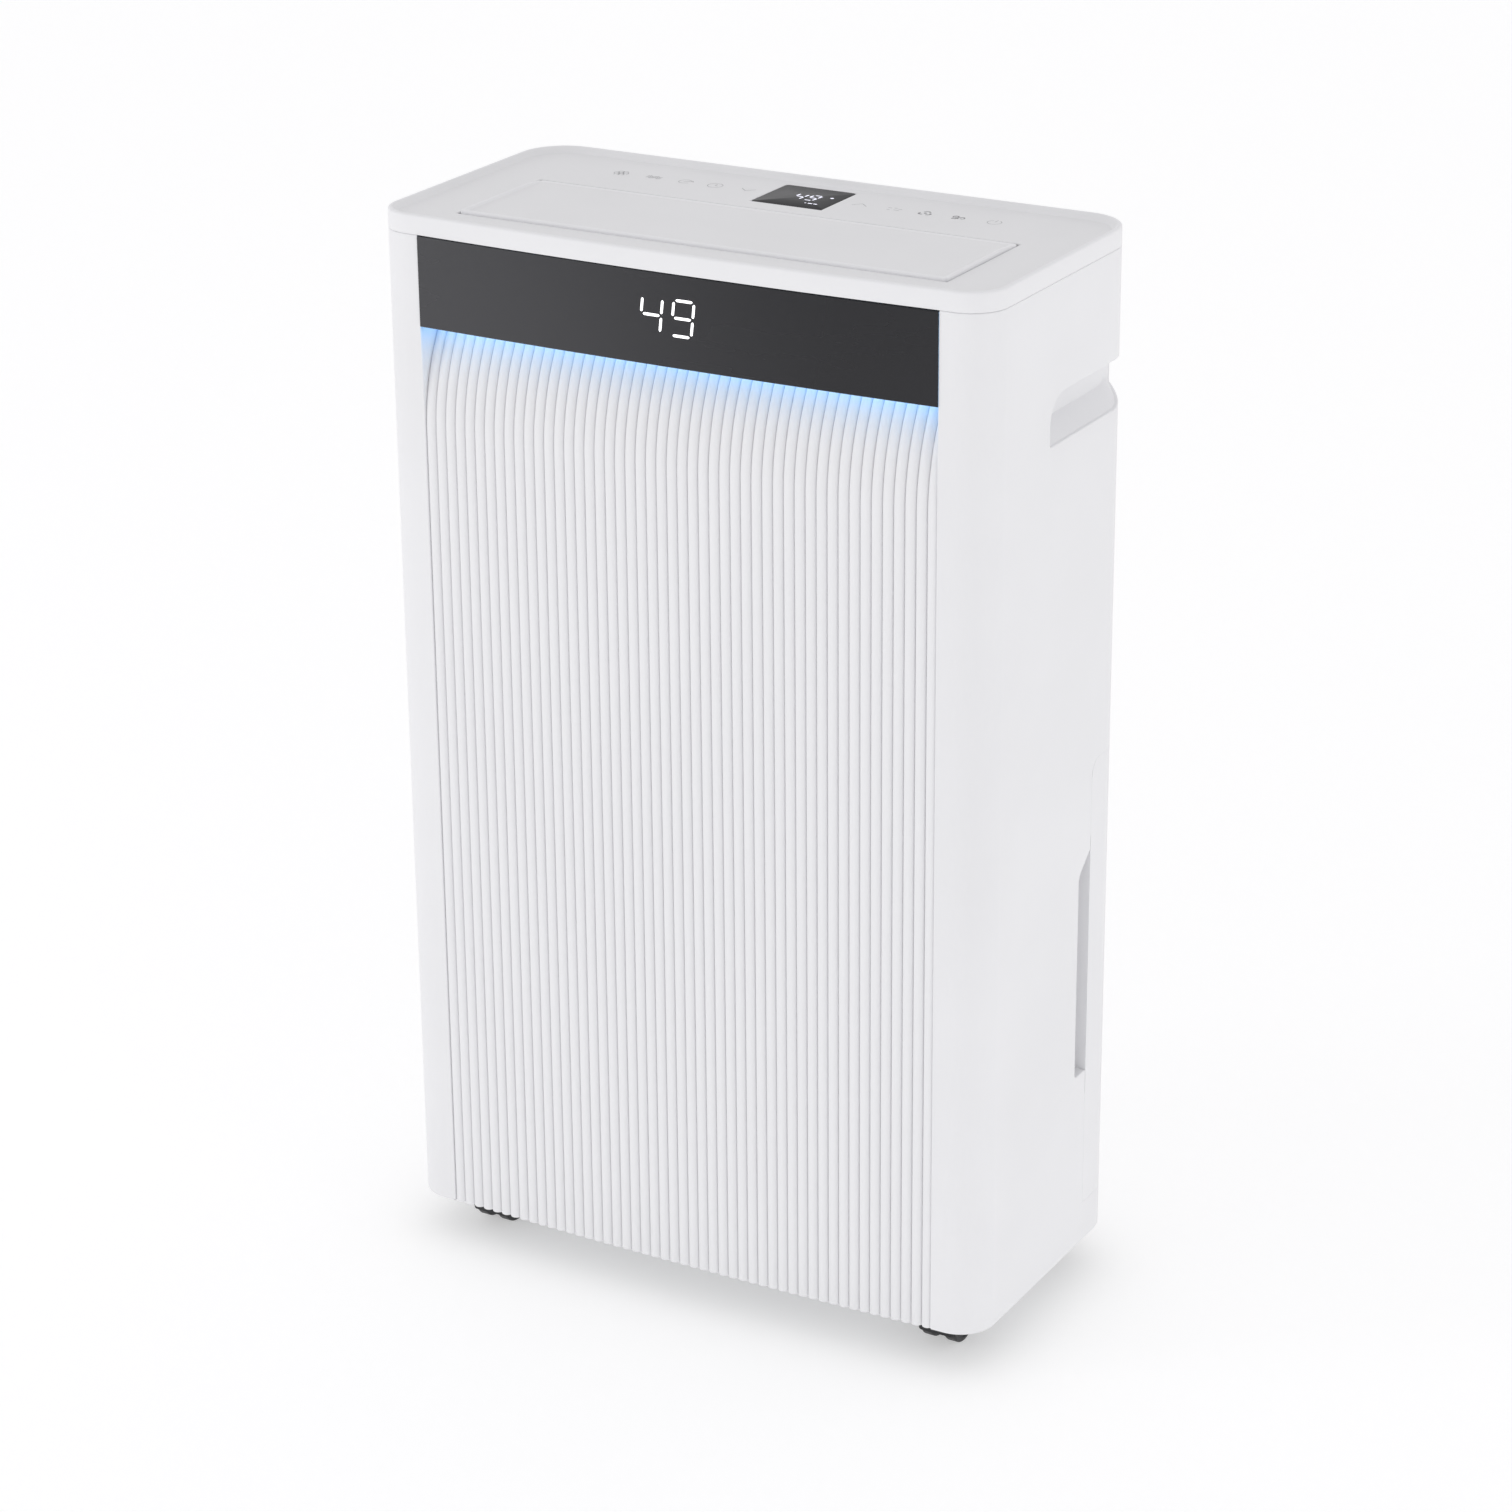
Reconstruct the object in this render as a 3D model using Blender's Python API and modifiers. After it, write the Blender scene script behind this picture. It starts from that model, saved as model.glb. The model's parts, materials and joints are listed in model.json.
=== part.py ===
"""Portable dehumidifier with a ribbed front, an opening air outlet, a pull-out tank and casters.

Metres, +Z up. The front faces -Y. The origin is on the floor, under the middle of the outer box.
"""
import math

import bmesh
import bpy
from mathutils import Matrix, Vector

MM = 0.001

# ---------------------------------------------------------------- driving sizes
BODY_WIDTH = 370 * MM           # across the cabinet sides
BODY_DEPTH = 175 * MM           # front columns to rear face
BODY_HEIGHT = 590 * MM          # underside of the cabinet to the top rim
FLOOR_GAP = 25 * MM             # floor to the underside of the cabinet
FRONT_CORNER = 21 * MM          # plan radius of the front corners
REAR_CORNER = 27 * MM           # plan radius of the rear corners
WALL = 2.5 * MM                 # moulded wall of the casings
GAP = 0.3 * MM                  # between pieces that touch
FIT = 1.0 * MM                  # round pieces that move or lift out

PANEL_HALF = 156.8 * MM         # half the width between the front columns
COLUMN_RETURN = 24 * MM         # depth of the columns' inner sides
FRONT_CROWN = 3.0 * MM          # how far the front bows out between the columns
LIP_CROWN = 3.8 * MM            # the same for the top cover's lip
LIP_HEIGHT = 11 * MM            # top cover's skirt
DISH_DEPTH = 3.6 * MM           # top surface below the rim
DISH_RIM = 6.5 * MM             # width of the rim

RIB_COUNT = 49
RIB_HEIGHT = 1.3 * MM
RIB_BASE = 2.6 * MM             # back of the ribbed panel behind the grooves
GROOVE = 1.2 * MM               # width of a groove
COVE_RADIUS = 107 * MM          # the ribs curve back under the display on this radius
COVE_ANGLE = math.radians(34)
COVE_STEPS = 4
COVE_DROP = 58 * MM             # where the cove starts, below the display panel

DISPLAY_HEIGHT = 50.5 * MM      # black display panel
DISPLAY_THICK = 4 * MM
DISPLAY_PROUD = 0.5 * MM
LIGHT_BAR = (9 * MM, 6 * MM)    # depth and height of the light strip

FLAP_HALF = 147.2 * MM
FLAP_FRONT = 26.0 * MM          # flap's front edge behind the front columns
FLAP_DEPTH = 82 * MM
FLAP_THICK = 3 * MM
FLAP_GAP = 1.0 * MM
FLAP_REAR_GAP = 1.6 * MM
HINGE_INSET = 1.2 * MM          # hinge axis in front of the flap's rear edge
HINGE_PIN = 1.1 * MM
HINGE_PIN_LENGTH = 3.5 * MM
WINDOW_HALF = 22.2 * MM         # top display window
WINDOW_FRONT = 122 * MM
WINDOW_DEPTH = 41.5 * MM
WINDOW_THICK = 1.6 * MM

TANK_FRONT = 132 * MM           # tank's front face behind the front columns
TANK_BOTTOM = 24.5 * MM         # above the cabinet's underside
TANK_TOP = 296 * MM
TANK_WALL = 2.2 * MM
TANK_NOSE = 10 * MM             # rounded top front corner of the tank's sides
TANK_SLOT_FRONT = 118 * MM      # grip slots beside the tank
TANK_SLOT_BOTTOM = 108 * MM
TANK_SLOT_TOP = 244 * MM
TANK_SLOT_DEPTH = 13 * MM
TANK_SLOT_TAPER = 12 * MM       # how much lower the slot's front edge ends

GRIP_FRONT = 71 * MM            # carrying grips, open to the rear
GRIP_DROP = 100 * MM            # foot of the sloping ledge below the top rim
GRIP_HEIGHT = 29.5 * MM
GRIP_DEPTH = 14 * MM
GRIP_SLOPE = 9 * MM             # rise of the sloping ledge
GRIP_TAPER = 16 * MM            # run of the sloping front end

GRILLE_HALF = 141 * MM          # rear intake grille
GRILLE_BOTTOM = 318.5 * MM
GRILLE_DROP = 24 * MM           # grille's top edge below the top rim
GRILLE_THICK = 4 * MM
GRILLE_GAP = 1.6 * MM
FILTER_THICK = 4.5 * MM

COIL_HALF = 128 * MM
COIL_BOTTOM = 328 * MM
COIL_DROP = 54 * MM             # top of the coils below the top rim
COIL_THICK = 21 * MM
FAN_DROP = 158 * MM             # fan axis below the top rim
FAN_RADIUS = 84 * MM
FAN_WIDTH = 48 * MM
SCROLL_RADIUS = 98 * MM
SCROLL_WALL = 2 * MM

CASTER_X = 148 * MM
CASTER_MARGIN = 10.5 * MM       # sweep of the wheels to the front columns and to the rear face
WHEEL_RADIUS = 13.5 * MM
WHEEL_WIDTH = 7 * MM
WHEEL_SPACE = 7.4 * MM          # between the two wheels of a caster
AXLE_RADIUS = 2.2 * MM
HOOD_WALL = 1.5 * MM
HOOD_LOW = 9 * MM               # lower edge of the hoods above the floor
CASTER_TRAIL = 7 * MM
STEM_RADIUS = 3 * MM
WHEEL_FACETS = 16

# ---------------------------------------------------------------- derived places
HALF_WIDTH = BODY_WIDTH / 2
OUTER_DEPTH = BODY_DEPTH + LIP_CROWN
Y_FRONT = -OUTER_DEPTH / 2 + LIP_CROWN
Y_REAR = OUTER_DEPTH / 2
Z_BASE = FLOOR_GAP
Z_TOP = Z_BASE + BODY_HEIGHT
Z_SEAM = Z_TOP - LIP_HEIGHT
Z_DISH = Z_TOP - DISH_DEPTH
Z_PLATE = Z_DISH - WALL
DISPLAY_BOTTOM = Z_SEAM - DISPLAY_HEIGHT
COVE_START = DISPLAY_BOTTOM - COVE_DROP
TANK_Y = Y_FRONT + TANK_FRONT
TANK_Z0 = Z_BASE + TANK_BOTTOM
TANK_Z1 = Z_BASE + TANK_TOP
FAN_Z = Z_TOP - FAN_DROP
COIL_Z0 = Z_BASE + COIL_BOTTOM
COIL_Z1 = Z_TOP - COIL_DROP
GRILLE_Z0 = Z_BASE + GRILLE_BOTTOM
GRILLE_Z1 = Z_TOP - GRILLE_DROP
GRIP_Z0 = Z_TOP - GRIP_DROP
INNER_HALF = HALF_WIDTH - WALL
SEPARATE = 40 * MM              # how far cutters run past what they cut

# back to front: grille, filter, evaporator, condenser, fan housing
GRILLE_Y = Y_REAR - GRILLE_THICK
FILTER_Y = GRILLE_Y - GAP - FILTER_THICK
EVAPORATOR_Y = FILTER_Y - 3 * MM - COIL_THICK
CONDENSER_Y = EVAPORATOR_Y - 5 * MM - COIL_THICK
SCROLL_REAR = CONDENSER_Y - 8 * MM
SCROLL_FRONT = Y_FRONT + 23 * MM
BAY_WALL = 2.5 * MM
BAY_FRONT = TANK_Y - 0.7 * MM - BAY_WALL

# casters
HOOD_RADIUS = WHEEL_RADIUS + FIT + HOOD_WALL
CASTER_INSET = WHEEL_RADIUS + CASTER_TRAIL + CASTER_MARGIN

# turn a profile's own Z axis to the named axis
AXES = {
    "X": Matrix(((0, 0, 1, 0), (1, 0, 0, 0), (0, 1, 0, 0), (0, 0, 0, 1))),
    "Y": Matrix(((1, 0, 0, 0), (0, 0, 1, 0), (0, 1, 0, 0), (0, 0, 0, 1))),
    "Z": Matrix.Identity(4),
}

SCREW_X = 151 * MM
SCREW_SHANK = 1.6 * MM
SCREW_HEAD = 3.4 * MM
SCREW_SINK = 1.5 * MM
SCREW_LENGTH = 9 * MM
SCREW_Z = (GRILLE_Z0 - 6.5 * MM, GRILLE_Z1 + 2 * MM)
GLAND_X = 120 * MM
GLAND_Z = Z_BASE + 12 * MM
GLAND_BODY = 6 * MM
DRAIN_RADIUS = 8.5 * MM

FLAP_Y0 = Y_FRONT + FLAP_FRONT
FLAP_Y1 = FLAP_Y0 + FLAP_DEPTH
HINGE_Y = FLAP_Y1 - HINGE_INSET
HINGE_Z = Z_DISH - FLAP_THICK + 1.0 * MM
BOSS_Z = HINGE_Z - HINGE_PIN - 1.6 * MM

OUTLET_GRILLE_TOP = Z_PLATE - 7 * MM
OUTLET_GRILLE_THICK = 5 * MM
SCROLL_TOP = OUTLET_GRILLE_TOP - OUTLET_GRILLE_THICK - GAP

BAY_ROOF = TANK_Z1 + 0.8 * MM
TRAY_Z0 = BAY_ROOF + BAY_WALL + GAP
SPOUT_Y = EVAPORATOR_Y + COIL_THICK / 2
SPOUT_RADIUS = 6 * MM

COMPRESSOR_X = -62 * MM
COMPRESSOR_Y = Y_FRONT + 66 * MM
COMPRESSOR_R = 50 * MM
COMPRESSOR_Z = Z_BASE + 16 * MM
COMPRESSOR_H = 172 * MM
FOOT_RADIUS = 7.5 * MM
FOOT_CIRCLE = 46 * MM

BASE_THICK = 3 * MM
PIPE_RADIUS = 3.5 * MM

FAN_Y0 = SCROLL_REAR - SCROLL_WALL - 4 * MM - FAN_WIDTH
HUB_BORE = 4.3 * MM
MOTOR_RADIUS = 40 * MM

SOCKET_RADIUS = WHEEL_RADIUS + CASTER_TRAIL + 3.5 * MM
SOCKET_FLANGE = 1.5 * MM
SOCKET_WALL = 2 * MM
SOCKET_TOP = WHEEL_RADIUS + HOOD_RADIUS + 2 * MM
CASTER_SPOTS = [(side_x * CASTER_X, y, word_y + "_" + word_x)
                for y, word_y in ((Y_FRONT + CASTER_INSET, "front"),
                                  (Y_REAR - CASTER_INSET, "rear"))
                for side_x, word_x in ((-1, "left"), (1, "right"))]

FLOAT_PIVOT_X = 58 * MM
FLOAT_Y = TANK_Y + 21 * MM
FLOAT_PIVOT_Z = TANK_Z1 - 36 * MM
FLOAT_PIN = 1.2 * MM

# ---------------------------------------------------------------- scene set-up
for old in list(bpy.data.objects):
    bpy.data.objects.remove(old, do_unlink=True)

parts = bpy.data.collections.new("dehumidifier")
cutters = bpy.data.collections.new("cutters")
bpy.context.scene.collection.children.link(parts)
bpy.context.scene.collection.children.link(cutters)

MATERIALS = {
    "white_plastic": ((0.80, 0.80, 0.82), 0.42, 0.0),
    "black_gloss": ((0.02, 0.02, 0.024), 0.18, 0.0),
    "black_plastic": ((0.025, 0.025, 0.027), 0.5, 0.0),
    "grey_plastic": ((0.30, 0.31, 0.33), 0.5, 0.0),
    "light_strip": ((0.35, 0.65, 0.95), 0.35, 0.0),
    "clear_plastic": ((0.62, 0.72, 0.78), 0.12, 0.0),
    "aluminium": ((0.75, 0.76, 0.78), 0.35, 1.0),
    "copper": ((0.72, 0.38, 0.24), 0.3, 1.0),
    "painted_steel": ((0.03, 0.03, 0.035), 0.4, 0.3),
    "circuit_board": ((0.03, 0.22, 0.10), 0.5, 0.0),
    "filter_mesh": ((0.16, 0.17, 0.19), 0.8, 0.0),
    "rubber": ((0.03, 0.03, 0.03), 0.85, 0.0),
    "zinc_steel": ((0.62, 0.62, 0.64), 0.35, 1.0),
    "foam": ((0.70, 0.72, 0.74), 0.9, 0.0),
}


def material(name):
    """The Principled material of one finish, made once."""
    made = bpy.data.materials.get(name)
    if made:
        return made
    colour, roughness, metallic = MATERIALS[name]
    made = bpy.data.materials.new(name)
    made.use_nodes = True
    shader = made.node_tree.nodes["Principled BSDF"]
    shader.inputs["Base Color"].default_value = (*colour, 1.0)
    shader.inputs["Roughness"].default_value = roughness
    shader.inputs["Metallic"].default_value = metallic
    return made


# ---------------------------------------------------------------- modelling helpers
def place(name, mesh, finish, origin=(0, 0, 0)):
    """A named object from a mesh in world places, or a cutter when it has no finish."""
    mesh.transform(Matrix.Translation(-Vector(origin)))
    shape = bpy.data.objects.new(name, mesh)
    shape.location = origin
    if finish is None:
        cutters.objects.link(shape)
        shape.hide_render = True
        shape.display_type = "WIRE"
    else:
        parts.objects.link(shape)
        mesh.materials.append(material(finish))
    return shape


def mesh_of(bm, name):
    """Welds and closes a bmesh, turns its faces outwards and makes it a mesh."""
    bmesh.ops.remove_doubles(bm, verts=bm.verts, dist=0.01 * MM)
    bmesh.ops.recalc_face_normals(bm, faces=bm.faces)
    mesh = bpy.data.meshes.new(name)
    bm.to_mesh(mesh)
    bm.free()
    return mesh


def box_bm(low, high, bm=None):
    """A cube primitive stretched from one corner to the other."""
    bm = bm or bmesh.new()
    size = Vector(high) - Vector(low)
    middle = (Vector(high) + Vector(low)) / 2
    matrix = Matrix.Translation(middle) @ Matrix.Diagonal((*size, 1.0))
    bmesh.ops.create_cube(bm, size=1.0, matrix=matrix)
    return bm


def box(name, low, high, finish=None):
    """A plain block between two corners."""
    return place(name, mesh_of(box_bm(low, high), name), finish)


# each turns a shape drawn along +Z so that it runs along the named axis


def prism_mesh(name, loops, low, high, axis="Z"):
    """A flat outline, with holes if it has more loops, drawn out along an axis.

    Loops are (x, y) for Z, (x, z) for Y and (y, z) for X.
    """
    curve = bpy.data.curves.new(name, "CURVE")
    curve.dimensions = "2D"
    curve.fill_mode = "BOTH"
    curve.extrude = (high - low) / 2
    for loop in loops:
        spline = curve.splines.new("POLY")
        spline.points.add(len(loop) - 1)
        for point, (u, v) in zip(spline.points, loop):
            point.co = (u, v, 0, 1)
        spline.use_cyclic_u = True
    guide = bpy.data.objects.new(name, curve)
    cutters.objects.link(guide)
    view = bpy.context.evaluated_depsgraph_get()
    flat = bpy.data.meshes.new_from_object(guide.evaluated_get(view))
    bpy.data.objects.remove(guide, do_unlink=True)
    bm = bmesh.new()
    bm.from_mesh(flat)
    bmesh.ops.translate(bm, verts=bm.verts, vec=(0, 0, (high + low) / 2))
    bmesh.ops.transform(bm, verts=bm.verts, matrix=AXES[axis])
    return mesh_of(bm, name)


def prism(name, loops, low, high, axis="Z", finish=None, origin=(0, 0, 0)):
    """The prism as an object."""
    return place(name, prism_mesh(name, loops, low, high, axis), finish, origin)


def turned(name, profile, centre, axis="Z", finish=None, facets=24, start=0.0):
    """A profile of (radius, height) points, top to bottom, turned round an axis."""
    bm = bmesh.new()
    verts = [bm.verts.new((r * math.cos(start), r * math.sin(start), h)) for r, h in profile]
    for one, two in zip(verts, verts[1:]):
        bm.edges.new((one, two))
    bmesh.ops.spin(bm, geom=bm.verts[:] + bm.edges[:], cent=(0, 0, 0), axis=(0, 0, 1),
                   angle=math.tau, steps=facets, use_merge=True)
    bmesh.ops.transform(bm, verts=bm.verts, matrix=AXES[axis])
    bmesh.ops.translate(bm, verts=bm.verts, vec=centre)
    shape = place(name, mesh_of(bm, name), finish, centre)
    shape.data.shade_smooth()
    shape.data.set_sharp_from_angle(angle=math.radians(35))
    return shape


def rod(name, radius, start, end, axis="Z", finish=None, facets=16):
    """A round bar along an axis, from its start point to its end coordinate."""
    index = "XYZ".index(axis)
    length = end - start[index]
    profile = [(0, length), (radius, length), (radius, 0), (0, 0)]
    return turned(name, profile, start, axis, finish, facets)


def tube(name, radius, points, finish):
    """A round bar that follows a route."""
    curve = bpy.data.curves.new(name, "CURVE")
    curve.dimensions = "3D"
    curve.bevel_depth = radius
    curve.bevel_resolution = 2
    curve.use_fill_caps = True
    spline = curve.splines.new("POLY")
    spline.points.add(len(points) - 1)
    for point, co in zip(spline.points, points):
        point.co = (*co, 1)
    shape = bpy.data.objects.new(name, curve)
    parts.objects.link(shape)
    curve.materials.append(material(finish))
    return shape


def rounded_route(corners, radius, steps=4):
    """Corner points joined by straight runs, with each corner turned into an arc."""
    route = [Vector(corners[0])]
    for before, here, after in zip(corners, corners[1:], corners[2:]):
        here = Vector(here)
        back = (Vector(before) - here).normalized() * radius
        ahead = (Vector(after) - here).normalized() * radius
        for i in range(steps + 1):
            t = i / steps
            route.append(here + back * (1 - t) ** 2 + ahead * t ** 2)
    route.append(Vector(corners[-1]))
    return route


def cut(shape, tool, operation="DIFFERENCE"):
    """Cuts a shape with a tool, or joins the tool to it."""
    step = shape.modifiers.new(tool.name, "BOOLEAN")
    step.operation = operation
    step.object = tool
    step.solver = "EXACT"
    return shape


def join(shape, tool):
    """Joins a tool's solid to a shape."""
    return cut(shape, tool, "UNION")


def many(name, boxes):
    """One cutter made of separate blocks."""
    bm = bmesh.new()
    for low, high in boxes:
        box_bm(low, high, bm)
    return place(name, mesh_of(bm, name), None)


def arc(centre, radius, start, end, steps):
    """Points on an arc, in degrees."""
    cx, cy = centre
    angles = [math.radians(start + (end - start) * i / steps) for i in range(steps + 1)]
    return [(cx + radius * math.cos(a), cy + radius * math.sin(a)) for a in angles]


def crowned_front(amount, y, steps=12):
    """The bowed front line from left to right between the columns."""
    xs = [PANEL_HALF * (2 * i / steps - 1) for i in range(steps + 1)]
    return [(x, y - amount * (1 - (x / PANEL_HALF) ** 2)) for x in xs]


def plan_outline(inset=0.0, crown=0.0):
    """The cabinet's plan outline, moved in by an inset, with a bowed front."""
    half = HALF_WIDTH - inset
    front = Y_FRONT + inset
    rear = Y_REAR - inset
    rf = FRONT_CORNER - inset
    rr = REAR_CORNER - inset
    loop = arc((-half + rf, front + rf), rf, 180, 270, 5)
    if crown:
        loop += crowned_front(crown, front)[1:-1]
    loop += arc((half - rf, front + rf), rf, 270, 360, 5)
    loop += arc((half - rr, rear - rr), rr, 0, 90, 6)
    loop += arc((-half + rr, rear - rr), rr, 90, 180, 6)
    return loop


# ---------------------------------------------------------------- cabinet
def grip_cutter(side):
    """The notch of a carrying grip: sloping ledge, sloping front end, open at the rear."""
    outer = side * (HALF_WIDTH + 1 * MM)
    inner = side * (HALF_WIDTH - GRIP_DEPTH)
    low = GRIP_Z0
    high = low + GRIP_HEIGHT
    front = Y_FRONT + GRIP_FRONT
    bm = box_bm((min(outer, inner), front, low), (max(outer, inner), Y_REAR + SEPARATE, high))
    for vert in bm.verts:
        if abs(vert.co.x - inner) < 0.1 * MM:
            if vert.co.z < (low + high) / 2:
                vert.co.z += GRIP_SLOPE
            else:
                vert.co.z -= GRIP_SLOPE / 3
            if vert.co.y < 0:
                vert.co.y += GRIP_TAPER
    return place("grip_cutter", mesh_of(bm, "grip_cutter"), None)


def slot_cutter(side, grow=0.0, depth=TANK_SLOT_DEPTH):
    """The finger slot in front of the tank's edge, tapered at its top."""
    front = Y_FRONT + TANK_SLOT_FRONT - grow
    rear = TANK_Y + SEPARATE if not grow else BAY_FRONT - GAP
    low = Z_BASE + TANK_SLOT_BOTTOM - grow
    high = Z_BASE + TANK_SLOT_TOP + grow
    outer = HALF_WIDTH + 1 * MM if not grow else INNER_HALF - GAP
    inner = HALF_WIDTH - depth - grow
    ends = sorted((side * outer, side * inner))
    bm = box_bm((ends[0], front, low), (ends[1], rear, high))
    for vert in bm.verts:
        if vert.co.z > (low + high) / 2 and vert.co.y < (front + TANK_Y) / 2:
            vert.co.z -= TANK_SLOT_TAPER
    return bm


def build_cabinet():
    """The front columns, sides and rear wall, as one moulding open at the front and top."""
    half = HALF_WIDTH
    inner = WALL
    outer_loop = [(PANEL_HALF, Y_FRONT)]
    outer_loop += arc((half - FRONT_CORNER, Y_FRONT + FRONT_CORNER), FRONT_CORNER, 270, 360, 5)
    outer_loop += arc((half - REAR_CORNER, Y_REAR - REAR_CORNER), REAR_CORNER, 0, 90, 6)
    rf = FRONT_CORNER - inner
    rr = REAR_CORNER - inner
    inner_loop = [(PANEL_HALF, Y_FRONT + COLUMN_RETURN)]
    inner_loop += [(PANEL_HALF + WALL, Y_FRONT + COLUMN_RETURN)]
    inner_loop += [(PANEL_HALF + WALL, Y_FRONT + inner)]
    inner_loop += arc((half - FRONT_CORNER, Y_FRONT + FRONT_CORNER), rf, 270, 360, 5)
    inner_loop += arc((half - REAR_CORNER, Y_REAR - REAR_CORNER), rr, 0, 90, 6)
    mirrored = [(-x, y) for x, y in reversed(outer_loop)]
    mirrored_inner = [(-x, y) for x, y in inner_loop]
    loop = outer_loop + mirrored + mirrored_inner + list(reversed(inner_loop))
    cabinet = prism("cabinet", [loop], Z_BASE, Z_SEAM - GAP, finish="white_plastic")

    nose = TANK_NOSE
    bay = [(TANK_Y, TANK_Z0 - GAP), (TANK_Y, TANK_Z1 + GAP - nose)]
    bay += arc((TANK_Y + nose, TANK_Z1 + GAP - nose), nose, 180, 90, 4)
    bay += [(Y_REAR + SEPARATE, TANK_Z1 + GAP), (Y_REAR + SEPARATE, TANK_Z0 - GAP)]
    cut(cabinet, prism("bay_cutter", [bay], -half - SEPARATE, half + SEPARATE, "X"))
    opening = GRILLE_HALF + FIT
    cut(cabinet, box("intake_cutter", (-opening, 0, GRILLE_Z0 - GRILLE_GAP),
                     (opening, Y_REAR + SEPARATE, GRILLE_Z1 + FIT)))
    for side in (-1, 1):
        cut(cabinet, grip_cutter(side))
        slot = slot_cutter(side)
        cut(cabinet, place("slot_cutter", mesh_of(slot, "slot_cutter"), None))
        for z in SCREW_Z:
            hole = SCREW_SHANK + GAP
            seat = SCREW_HEAD + GAP
            cut(cabinet, turned("screw_hole", [(0, SEPARATE), (seat, SEPARATE),
                                               (seat, -SCREW_SINK), (hole, -SCREW_SINK),
                                               (hole, -10 * MM), (0, -10 * MM)],
                                (side * SCREW_X, Y_REAR, z), "Y", facets=12))
    for x, y, _ in CASTER_SPOTS:
        cut(cabinet, rod("socket_space", SOCKET_RADIUS + SOCKET_FLANGE + GAP, (x, y, 0),
                         SOCKET_TOP + SOCKET_WALL + GAP))
    cut(cabinet, rod("gland_hole", GLAND_BODY + GAP, (GLAND_X, Y_REAR - 10 * MM, GLAND_Z),
                     Y_REAR + SEPARATE, "Y"))
    cut(cabinet, rod("drain_hole", DRAIN_RADIUS + GAP, (-GLAND_X, Y_REAR - 10 * MM, GLAND_Z),
                     Y_REAR + SEPARATE, "Y"))


def build_grip_liners():
    """The moulded pockets behind the carrying grips and behind the tank's finger slots."""
    shell = 2.0 * MM
    for side, word in ((-1, "left"), (1, "right")):
        low = GRIP_Z0 - shell
        high = GRIP_Z0 + GRIP_HEIGHT + shell
        x_in = HALF_WIDTH - GRIP_DEPTH - shell
        ends = sorted((side * x_in, side * (HALF_WIDTH + SEPARATE)))
        liner = box("hand_grip_" + word, (ends[0], Y_FRONT + GRIP_FRONT - shell, low),
                    (ends[1], Y_REAR + SEPARATE, high), "white_plastic")
        inside = prism("grip_limit", [plan_outline(WALL + GAP)], 0, Z_TOP)
        cut(liner, inside, "INTERSECT")
        cut(liner, grip_cutter(side))

        pocket_bm = slot_cutter(side, grow=shell)
        pocket = place("tank_grip_" + word, mesh_of(pocket_bm, "tank_grip"), "white_plastic")
        hollow = slot_cutter(side)
        cut(pocket, place("pocket_hollow", mesh_of(hollow, "pocket_hollow"), None))


# ---------------------------------------------------------------- front
def build_front_panel():
    """The ribbed front panel, whose ribs curve back at the top into a cove."""
    half = PANEL_HALF - GAP
    pitch = 2 * half / RIB_COUNT

    def line(x):
        return Y_FRONT - FRONT_CROWN * (1 - (x / PANEL_HALF) ** 2)

    loop = []
    for i in range(RIB_COUNT):
        middle = -half + pitch * (i + 0.5)
        reach = (pitch - GROOVE) / 2
        for offset, depth in ((-reach, RIB_HEIGHT), (-0.55 * reach, 0.0), (0.55 * reach, 0.0),
                              (reach, RIB_HEIGHT)):
            loop.append((middle + offset, line(middle) + depth))
    back = RIB_HEIGHT + RIB_BASE
    loop[0] = (-half, loop[0][1])
    loop[-1] = (half, loop[-1][1])
    loop += [(x, line(x) + back) for x in [half * (1 - i / 6) for i in range(13)]]
    bottom = Z_BASE
    mesh = prism_mesh("front_panel", [loop], bottom, COVE_START)
    bm = bmesh.new()
    bm.from_mesh(mesh)
    cap = [f for f in bm.faces if min(v.co.z for v in f.verts) > COVE_START - GAP]
    pivot = Vector((0, Y_FRONT + COVE_RADIUS, COVE_START))
    for _ in range(COVE_STEPS):
        made = bmesh.ops.extrude_face_region(bm, geom=cap)["geom"]
        verts = [g for g in made if isinstance(g, bmesh.types.BMVert)]
        bmesh.ops.delete(bm, geom=cap, context="FACES")
        cap = [g for g in made if isinstance(g, bmesh.types.BMFace)]
        turn = Matrix.Rotation(-COVE_ANGLE / COVE_STEPS, 3, "X")
        bmesh.ops.rotate(bm, verts=verts, cent=pivot, matrix=turn)
    place("front_panel", mesh_of(bm, "front_panel"), "white_plastic")


def crowned_plate(name, half, proud, thick, low, high, finish):
    """A plate bowed like the front, standing proud of the columns."""
    front = crowned_front(FRONT_CROWN, Y_FRONT - proud)
    front[0] = (-half, front[0][1])
    front[-1] = (half, front[-1][1])
    back = [(x, y + thick) for x, y in reversed(front)]
    return prism(name, [front + back], low, high, finish=finish)


def build_display():
    """The black display panel, its circuit board and the light strip under it."""
    half = PANEL_HALF - GAP
    crowned_plate("display_panel", half, DISPLAY_PROUD, DISPLAY_THICK, DISPLAY_BOTTOM,
                  Z_SEAM - GAP, "black_gloss")
    behind = Y_FRONT + DISPLAY_THICK + GAP
    depth, height = LIGHT_BAR
    box("light_bar", (-half + 4 * MM, behind, DISPLAY_BOTTOM + 1 * MM),
        (half - 4 * MM, behind + depth, DISPLAY_BOTTOM + 1 * MM + height), "light_strip")
    box("display_board", (-62 * MM, behind + 2 * MM, DISPLAY_BOTTOM + height + 4 * MM),
        (62 * MM, behind + 3.6 * MM, Z_SEAM - 5 * MM), "circuit_board")


# ---------------------------------------------------------------- top


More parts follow.
